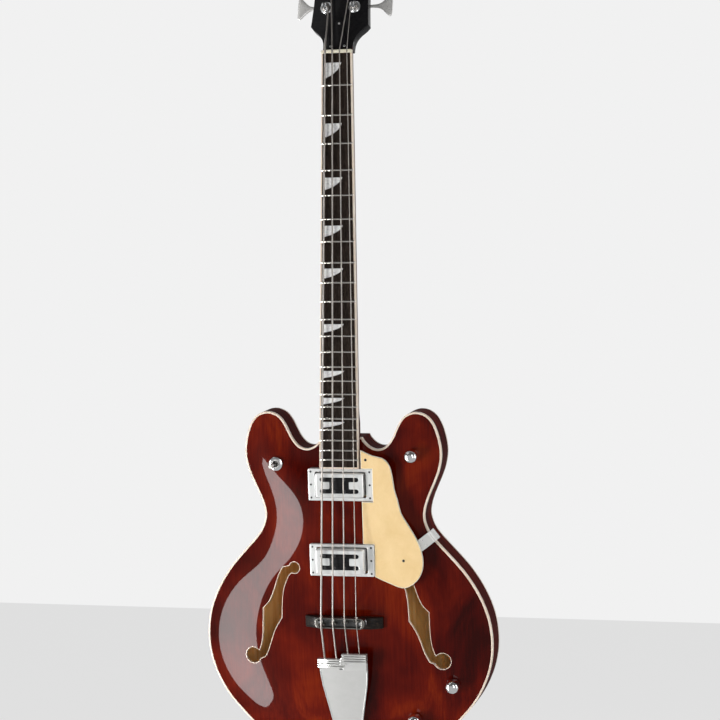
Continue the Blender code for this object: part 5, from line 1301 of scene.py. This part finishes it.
def build_bridge():
    setback = sum(SADDLE_SETBACKS) / len(SADDLE_SETBACKS) + BAR_SHIFT
    _, strings, z = BODY_FROM_NECK @ Vector((0, -BRIDGE_ACTION, -SCALE_LENGTH - setback))
    half, top, end = BRIDGE_BASE_WIDTH / 2, -BRIDGE_BASE_TOP, -BRIDGE_BASE_END
    step = half * BRIDGE_SHOULDER
    right = [(step - 0.001, top), (step + 0.001, top + 0.0004), (half - 0.0008, end), (half, end + 0.0010)]
    tops = [(-x, y) for x, y in reversed(right)] + right
    loops = []
    for share, lower in ((-1, 0.0007), (-0.9, 0), (-0.45, 0), (0, 0), (0.45, 0), (0.9, 0), (1, 0.0007)):
        at = z - BRIDGE_BASE_SHIFT + BRIDGE_BASE_LENGTH / 2 * share
        loop = [(x, y + lower, at) for x, y in tops]
        for x in [half * (1 - k / 15) for k in range(31)]:
            clear = BRIDGE_ARCH * min(1, max(0, (half - BRIDGE_FOOT - abs(x)) / 0.004))
            loop.append((x, top_front(x, at) - clear, at))
        loops.append(loop)
    add("bridge_foot", [skin(loops)], EBONY, "bridge_base", sharp=40)

    front = strings + SADDLE_RISE
    floor, back = front + BAR_RECESS, front + BAR_HEIGHT
    outline = rounded_box(BAR_WIDTH, BAR_LENGTH, BAR_LENGTH * BAR_ROUND, (0, z), 12)
    recess = rounded_box(BAR_WIDTH - 2 * BAR_END_WALL, BAR_LENGTH - 2 * BAR_SIDE_WALL, BAR_SIDE_WALL, (0, z))
    saddles = []
    for index, setback in enumerate(SADDLE_SETBACKS):
        place = Vector((string_x(index, BRIDGE_SPACING), -BRIDGE_ACTION + CLEARANCE, -SCALE_LENGTH - setback))
        x, crest, at = BODY_FROM_NECK @ place
        reach = SADDLE_LENGTH / 2
        loops = []
        for side, sink in SADDLE_SECTIONS:
            ridge = [(crest + sink, 0.0002), (crest + SADDLE_RISE / 2, reach), (floor, reach)]
            ridge += [(y, -along) for y, along in reversed(ridge)]
            loops.append([(x + SADDLE_WIDTH / 2 * side, y, at + along) for y, along in ridge])
        rod = [(0.0012, reach), (0.0012, 0.0052)]
        saddles += [skin(loops), turned(rod, (x, floor - 0.0014, at), "z", 12)]
    add("bar_cast", [plate(outline, front, floor + 0.0006, 0.0009, [recess])], AGED, "bridge_bar")
    # The bar's lower part is near-black steel; its top, the recess floor between the saddles, is painted
    # shade.
    add("bar_floor", [plate(outline, floor, back, 0.0006)], DARK_STEEL_AND_SHADE, "bridge_bar")
    add("saddles", saddles, AGED, "bridge_bar")

    r, tip, start = WHEEL_POST_RADIUS, floor - 0.0022, back + CLEARANCE
    end = start + WHEEL_THICKNESS
    post = (r, -BRIDGE_BASE_TOP + WHEEL_POST_SINK), (r, tip + 0.0004), (r * 0.8, tip), (CLOSED_RADIUS, tip)
    wheel = [(WHEEL_RADIUS - offset, y) for offset, y in rounding(start, end, 0.0003, 2)]
    wheel = [(r, start), *wheel, (r, end)]
    for label, x in (("bass", -WHEEL_SPREAD / 2), ("treble", WHEEL_SPREAD / 2)):
        # The slot in each post's tip is a black box just proud of it: painted shade, not a cut.
        slot = box((x - 0.0019, tip - 0.00005, z - 0.0003), (x + 0.0019, tip + 0.0004, z + 0.0003), 0.00005)
        turns = [turned(post, (x, 0, z), "y", 28), turned(wheel, (x, 0, z), "y", 64, knurl=0.00022)]
        shapes = [(turns[0], 0), (turns[1], 0), (slot, 1)]
        looks, node = [CHROME, BLACK_PLASTIC_AND_SHADE], f"bridge_wheel_{label}"
        add(f"wheel_knurled_{label}", shapes, looks, node, f"wheel_{label}", sharp=28)


# Tailpiece


def build_tailpiece():
    width, foot_end = TAILPIECE_HALF[0][0], BODY_HALF[0][1] - 2 * FOOT_HINGE_RADIUS
    drop = (ANCHOR_FRONT - ANCHOR_RADIUS * 0.6 - TAILPIECE_FOOT) / (foot_end - TAILPIECE_HALF[0][1])

    def leaning(*sizes):
        """A plate that leans from the anchor down to the foot."""
        points, faces = plate(*sizes)
        return [Vector((x, y - TAILPIECE_FOOT - drop * (foot_end + z), z)) for x, y, z in points], faces

    half = through(down(TAILPIECE_HALF)) + down([(TAILPIECE_HALF[-1][0], foot_end)])
    outline = half + mirrored(half)
    shapes = [
        leaning(outline, 0, TAILPIECE_THICKNESS, 0.0006),
        leaning(inset(outline, 0.0002), -0.0007, 0.0006, 0.0004, [inset(outline, 0.0018)], 3),
    ]
    # A dark mark just proud of the face, standing for a slot: painted shade.
    slot = rounded_box(0.0050, 0.0014, 0.0006, (-0.0035, -0.3548), 4)
    shade_marks = [leaning(slot, -0.0004, 0.0002, 0.00005, (), 1)]
    for side, top in zip((-1, 1), RIB_TOPS):
        profile = [(-0.0290, -top - 0.0006), (-0.0345, -top)]
        for rib in range(RIB_COUNT):
            middle = -top - RIB_PITCH * (rib + 0.5)
            for a in np.linspace(-1.45, 1.45, 9):
                profile.append((-0.0360 - 0.0026 * cos(a), middle - RIB_PITCH * 0.46 * sin(a)))
        low = -top - RIB_PITCH * RIB_COUNT
        profile += [(-0.0340, low), (-0.0290, low)]
        centre = sum(z for _, z in profile) / len(profile)
        loops = []
        for x, shrink in ((0, 0), (side * (width - 0.0008), 0), (side * width, 0.0005)):
            loops.append([
                (x, y + (shrink if y < -0.030 else 0), z + (centre - z) * shrink * 60) for y, z in profile
            ])
        shapes.append(skin(loops))
        low, high = sorted((side * 0.0004, side * (width - 0.0010)))
        # Dark strips between the ribs: painted shade in the creases.
        for z in [-top - RIB_PITCH * rib for rib in range(1, RIB_COUNT)]:
            shade_marks.append(box((low, -0.0371, z - 0.00035), (high, -0.0360, z + 0.00035), 0.0001))
    upper, lower = RIB_TOPS[1] + 0.0003, RIB_TOPS[0] + 0.0090
    wedge = down([(-0.0025, RIB_TOPS[0] + 0.0005), (0.0035, upper), (0.0035, lower), (-0.0025, lower)])
    shapes.append(plate(wedge, -0.0372, -0.0295, 0.0004, steps=2))
    web = rounded_box(width - 0.0010, 0.0120, 0.0010, (width / 2, -0.3500), 3)
    shapes.append(plate(web, -0.0335, -0.0290, 0.0004))
    shapes += [(mark, 1) for mark in shade_marks]
    add("tailpiece_cast", shapes, [HARDWARE, DARK_STEEL_AND_SHADE], "tailpiece", sharp=35)


def build_button(name, node, centre, axis, sign):
    """A strap button with a screw in its dished head."""
    r, w, length = BUTTON_RADIUS, BUTTON_WAIST_RADIUS, sign * BUTTON_LENGTH
    line = [
        (r * 0.86, 0), (r * 0.86, 0.13), (w * 1.05, 0.30), (w, 0.52), (w * 1.15, 0.70), (r * 0.93, 0.80),
        (r, 0.88), (r * 0.93, 0.99), (r * 0.62, 0.99), (r * 0.45, 0.93),
    ]
    body = [*through(scaled(line, 1, length), turn=10.0), (CLOSED_RADIUS, length * 0.93)]
    head = [*scaled(((0.42, 0.93), (0.40, 0.975), (0.2, 0.995)), r, length), (CLOSED_RADIUS, length * 0.998)]
    add(name, [turned(body, centre, axis, 48), turned(head, centre, axis, 32)], CHROME, node)


# Controls


def build_knob(label):
    x, below = KNOBS[label]
    under = fronts_under(x, below, POT_NUT_RADIUS)[0] - POT_NUT_HEIGHT - 3 * CLEARANCE
    skirt = fronts_under(x, below, KNOB_RADIUS)[0] - KNOB_GAP
    hollow = POT_NUT_RADIUS + 2 * CLEARANCE
    shaft_end = fronts_under(x, below, 0.0120)[1] + PLATE_THICKNESS + 0.0045
    socket = [(SHAFT_RADIUS, shaft_end), (SHAFT_RADIUS, under), (hollow, under)]
    dome = through([(hollow, skirt), *scaled(KNOB_DOME, KNOB_RADIUS, -KNOB_HEIGHT, skirt)], turn=5.0)
    shape = turned([*socket, *dome, (CLOSED_RADIUS, skirt - KNOB_HEIGHT)], (x, 0, -below), "y", 72)
    add(f"knob_dome_{label}", [shape], CHROME, f"knob_{label}", f"{label}_knob", sharp=40)


def build_switch():
    x, below = SWITCH_PLACE
    centre = (x, 0, -below)
    top = fronts_under(x, below, SWITCH_NUT_RADIUS)[0] - CLEARANCE
    bore, r, h = SWITCH_BUSH_RADIUS + CLEARANCE / 2, SWITCH_NUT_RADIUS, SWITCH_NUT_HEIGHT
    washer = scaled(((1, 0), (1, 0.25), (0.97, 0.50), (0.90, 0.66), (0.84, 0.72)), r, -h, top)
    nut = scaled(((0.82, 0.72), (0.82, 0.95), (0.79, 1)), r, -h, top)
    shapes = [
        turned([(bore, top), *washer, (bore, top - h * 0.72)], centre, "y", 56, ring=True),
        turned([(bore, top - h * 0.70), *nut, (bore, top - h)], centre, "y", 72, ring=True, knurl=0.0002),
    ]
    add("switch_nut", shapes, CHROME, "toggle_nut", sharp=28)

    mouth = top - h - SWITCH_MOUTH_RISE
    pivot, end = mouth + SWITCH_PIVOT_DEPTH, mouth - SWITCH_LEVER_LENGTH
    ball, lever = SWITCH_BORE_RADIUS - 2 * CLEARANCE, SWITCH_LEVER_RADIUS
    stem = scaled(((0.4, 0.90), (0.88, 0.48), (1, 0), (0.80, -0.6)), ball, ball, pivot)
    stem += [(lever * 1.2, pivot - ball * 0.95), (lever, pivot - ball * 1.4)]
    stem.append((lever, end + SWITCH_LEVER_LENGTH * 0.40))
    rod = turned(through(stem, turn=10.0), centre, "y", 36)
    cap = scaled(SWITCH_TIP, SWITCH_TIP_RADIUS, SWITCH_LEVER_LENGTH, end)
    tip = turned(through([(lever, end + SWITCH_LEVER_LENGTH * 0.49), *cap], turn=8.0), centre, "y", 36)
    shapes = [(rod, 0), (tip, 1)]
    add("switch_lever", shapes, [STEEL, TIP], "toggle_lever", "lever", sharp=40)


def build_jack():
    x, below = JACK_PLACE
    top = fronts_under(x, below, JACK_PLATE_RADIUS)[0] - CLEARANCE
    front, bore = top - JACK_PLATE_THICKNESS, JACK_BARREL_RADIUS + CLEARANCE / 2
    edge = scaled(((0.90, 0), (0.97, 0.2), (1, 0.55), (1, 1)), JACK_PLATE_RADIUS, JACK_PLATE_THICKNESS, front)
    dish = turned([(bore, front), *edge, (bore, top)], (x, 0, -below), "y", 56, ring=True)
    centre = (x, -below)
    nut = plate(circle(centre, 0.0072, 6), front - 0.0008, front, 0.0002, [circle(centre, bore, 32)], 2)
    add("jack_dish", [dish, nut], CHROME, "jack_plate")


build_shell()
build_neck()
build_cover()
build_board()
build_nut()
for tuner_label in TUNERS:
    build_tuner(tuner_label)
build_housing_screws()
build_strings()
for pickup in PICKUP_PLACES:
    build_pickup(pickup)
build_guard()
build_bracket()
build_bridge()
build_tailpiece()
foot_face = -(BODY_HALF[0][1] + 2 * CLEARANCE) - FOOT_THICKNESS
build_button("end_button", "strap_button_end", (0, FOOT_DEPTH / 2, foot_face - CLEARANCE), "z", -1)
heel_face, heel_middle = RIM_DEPTH - HEEL_INSET, -NECK_SEAT + HEEL_FLAT / 2
build_button("heel_button", "strap_button_heel", (0, heel_face + CLEARANCE, heel_middle), "y", 1)
for knob_label in KNOBS:
    build_knob(knob_label)
build_switch()
build_jack()

# CAD nodes that stay in sight

KEPT = {
    "centre_block": BARE, "truss_rod": STEEL, "toggle_switch": STEEL, "jack_socket": NICKEL,
    "tailpiece_bracket": HARDWARE,
    **{f"pot_{label}": STEEL for label in KNOBS},
    **{f"tuner_housing_{label}": CHROME for label in TUNERS},
}
for kept_name, kept_look in KEPT.items():
    kept = NODES[kept_name]
    kept.data.materials.clear()
    kept.data.materials.append(kept_look)
    if kept_name.startswith(("tuner_housing", "tailpiece_bracket")):
        bevel = kept.modifiers.new("edges", "BEVEL")
        bevel.width = 0.0010 if kept_name.startswith("tuner") else 0.0004
        bevel.segments = 3
        bevel.limit_method = "ANGLE"
        bevel.angle_limit = radians(40)

# Floor, light and camera

BACKDROP = 0.88
AMBIENT = 0.20
FLOOR_IN_METAL = 0.45
FLOOR_GLOW = 0.8
FLOOR_DROP = 0.85
FLOOR_CORNERS = ((-7, -9), (7, -9), (7, 4.5), (-7, 4.5))
LAMP_AIM = Vector((0, -0.06, -0.70))
CAMERA_PLACE = (0.81496, -2.9258, -0.10268)
CAMERA_TURN = (83.7227, 1.8248, 15.0857)
CAMERA_LENS = 110
CAMERA_FILM = 36
CAMERA_SHIFT = 0.00056


def softbox(name, azimuth, elevation, reach, width, height, radiance, shape="RECTANGLE"):
    """A flat lamp seen from the body at an angle left (-) or right (+) of the front, facing it."""
    a, e = radians(azimuth), radians(elevation)
    away = Vector((sin(a) * cos(e), -cos(a) * cos(e), sin(e)))
    lamp = bpy.data.lights.new(name, "AREA")
    lamp.shape, lamp.size, lamp.size_y = shape, width, height
    lamp.energy = radiance * pi * width * height * (1 if shape == "RECTANGLE" else pi / 4)
    thing = in_scene(name, lamp)
    thing.location = LAMP_AIM + away * reach
    thing.rotation_mode = "QUATERNION"
    thing.rotation_quaternion = away.to_track_quat("Z", "Y")


def pale_world():
    """A pale surround. Metal sees it dimmer in front of the guitar, where the room of a studio is."""
    world = bpy.data.worlds.new("surround")
    world.use_nodes = True
    look = Nodes(world.node_tree)
    place = look.node("ShaderNodeTexCoord", out="Generated")
    parts = look.node("ShaderNodeSeparateXYZ", {0: place}).node.outputs

    def spread(value, *limits):
        names = "Value", "From Min", "From Max", "To Min", "To Max"
        values = dict(zip(names, (value, *limits)))
        return look.node("ShaderNodeMapRange", values, interpolation_type="SMOOTHSTEP")

    behind = spread(parts["Y"], -0.3, 0.9, 0.10, 0.60)
    low = spread(parts["Z"], -0.08, 0.45, FLOOR_IN_METAL, 0.0)
    seen, glossy = look.background_rays()
    strength = look.mix(seen, look.mix(glossy, AMBIENT, look.larger(behind, low)), BACKDROP)
    look.put(look.tree.nodes["Background"], {"Strength": strength, "Color": (1, 1, 1, 1)})
    bpy.context.scene.world = world


def pale_floor():
    """A pale floor that keeps the shadow, and that metal sees as bright as it is written."""
    look = Finish("floor_look", Roughness=0.9, Specular_IOR_Level=0.1)
    look.colour(look.noise(3, 2), ((0.3, (0.80, 0.80, 0.80)), (0.7, (0.83, 0.83, 0.83))))
    seen, glossy = look.background_rays()
    glow = look.node("ShaderNodeEmission", {"Strength": look.mix(glossy, BACKDROP, FLOOR_IN_METAL)})
    share = look.mix(glossy, look.mix(seen, 0.0, FLOOR_GLOW), 1.0)
    both = look.node("ShaderNodeMixShader", {0: share, 1: look.shader.outputs[0], 2: glow})
    look.put(look.tree.nodes["Material Output"], {"Surface": both})
    corners = [(x, y, cad_box[0].z - FLOOR_DROP) for x, y in FLOOR_CORNERS]
    mesh = mesh_of("floor", corners, [(0, 1, 2, 3)], [0])
    mesh.materials.append(look.material)
    in_scene("floor", mesh)


softbox("strip", -43.5, -13.5, 1.76, 0.46, 1.46, 18.0, "ELLIPSE")
softbox("side_panel", -68, -4, 1.9, 1.1, 1.5, 1.1)
softbox("key", -52, 48, 2.3, 1.3, 1.3, 0.5)
softbox("fill", 23, 10, 2.4, 0.8, 1.6, 2.6)
softbox("rim_lamp", 84, 8, 2.3, 0.8, 1.8, 2.8)
softbox("back_left", -140, 25, 2.4, 1.0, 1.4, 2.4)
softbox("back_right", 140, 25, 2.4, 1.0, 1.4, 2.4)
pale_world()
pale_floor()

camera = bpy.data.cameras.new("camera")
camera.lens, camera.sensor_width = CAMERA_LENS, CAMERA_FILM
camera.shift_y = CAMERA_SHIFT
camera.clip_end = 30
viewer = in_scene("camera", camera)
viewer.location = CAMERA_PLACE
viewer.rotation_euler = [radians(a) for a in CAMERA_TURN]
bpy.context.scene.camera = viewer
bpy.context.scene.view_settings.view_transform = "Standard"
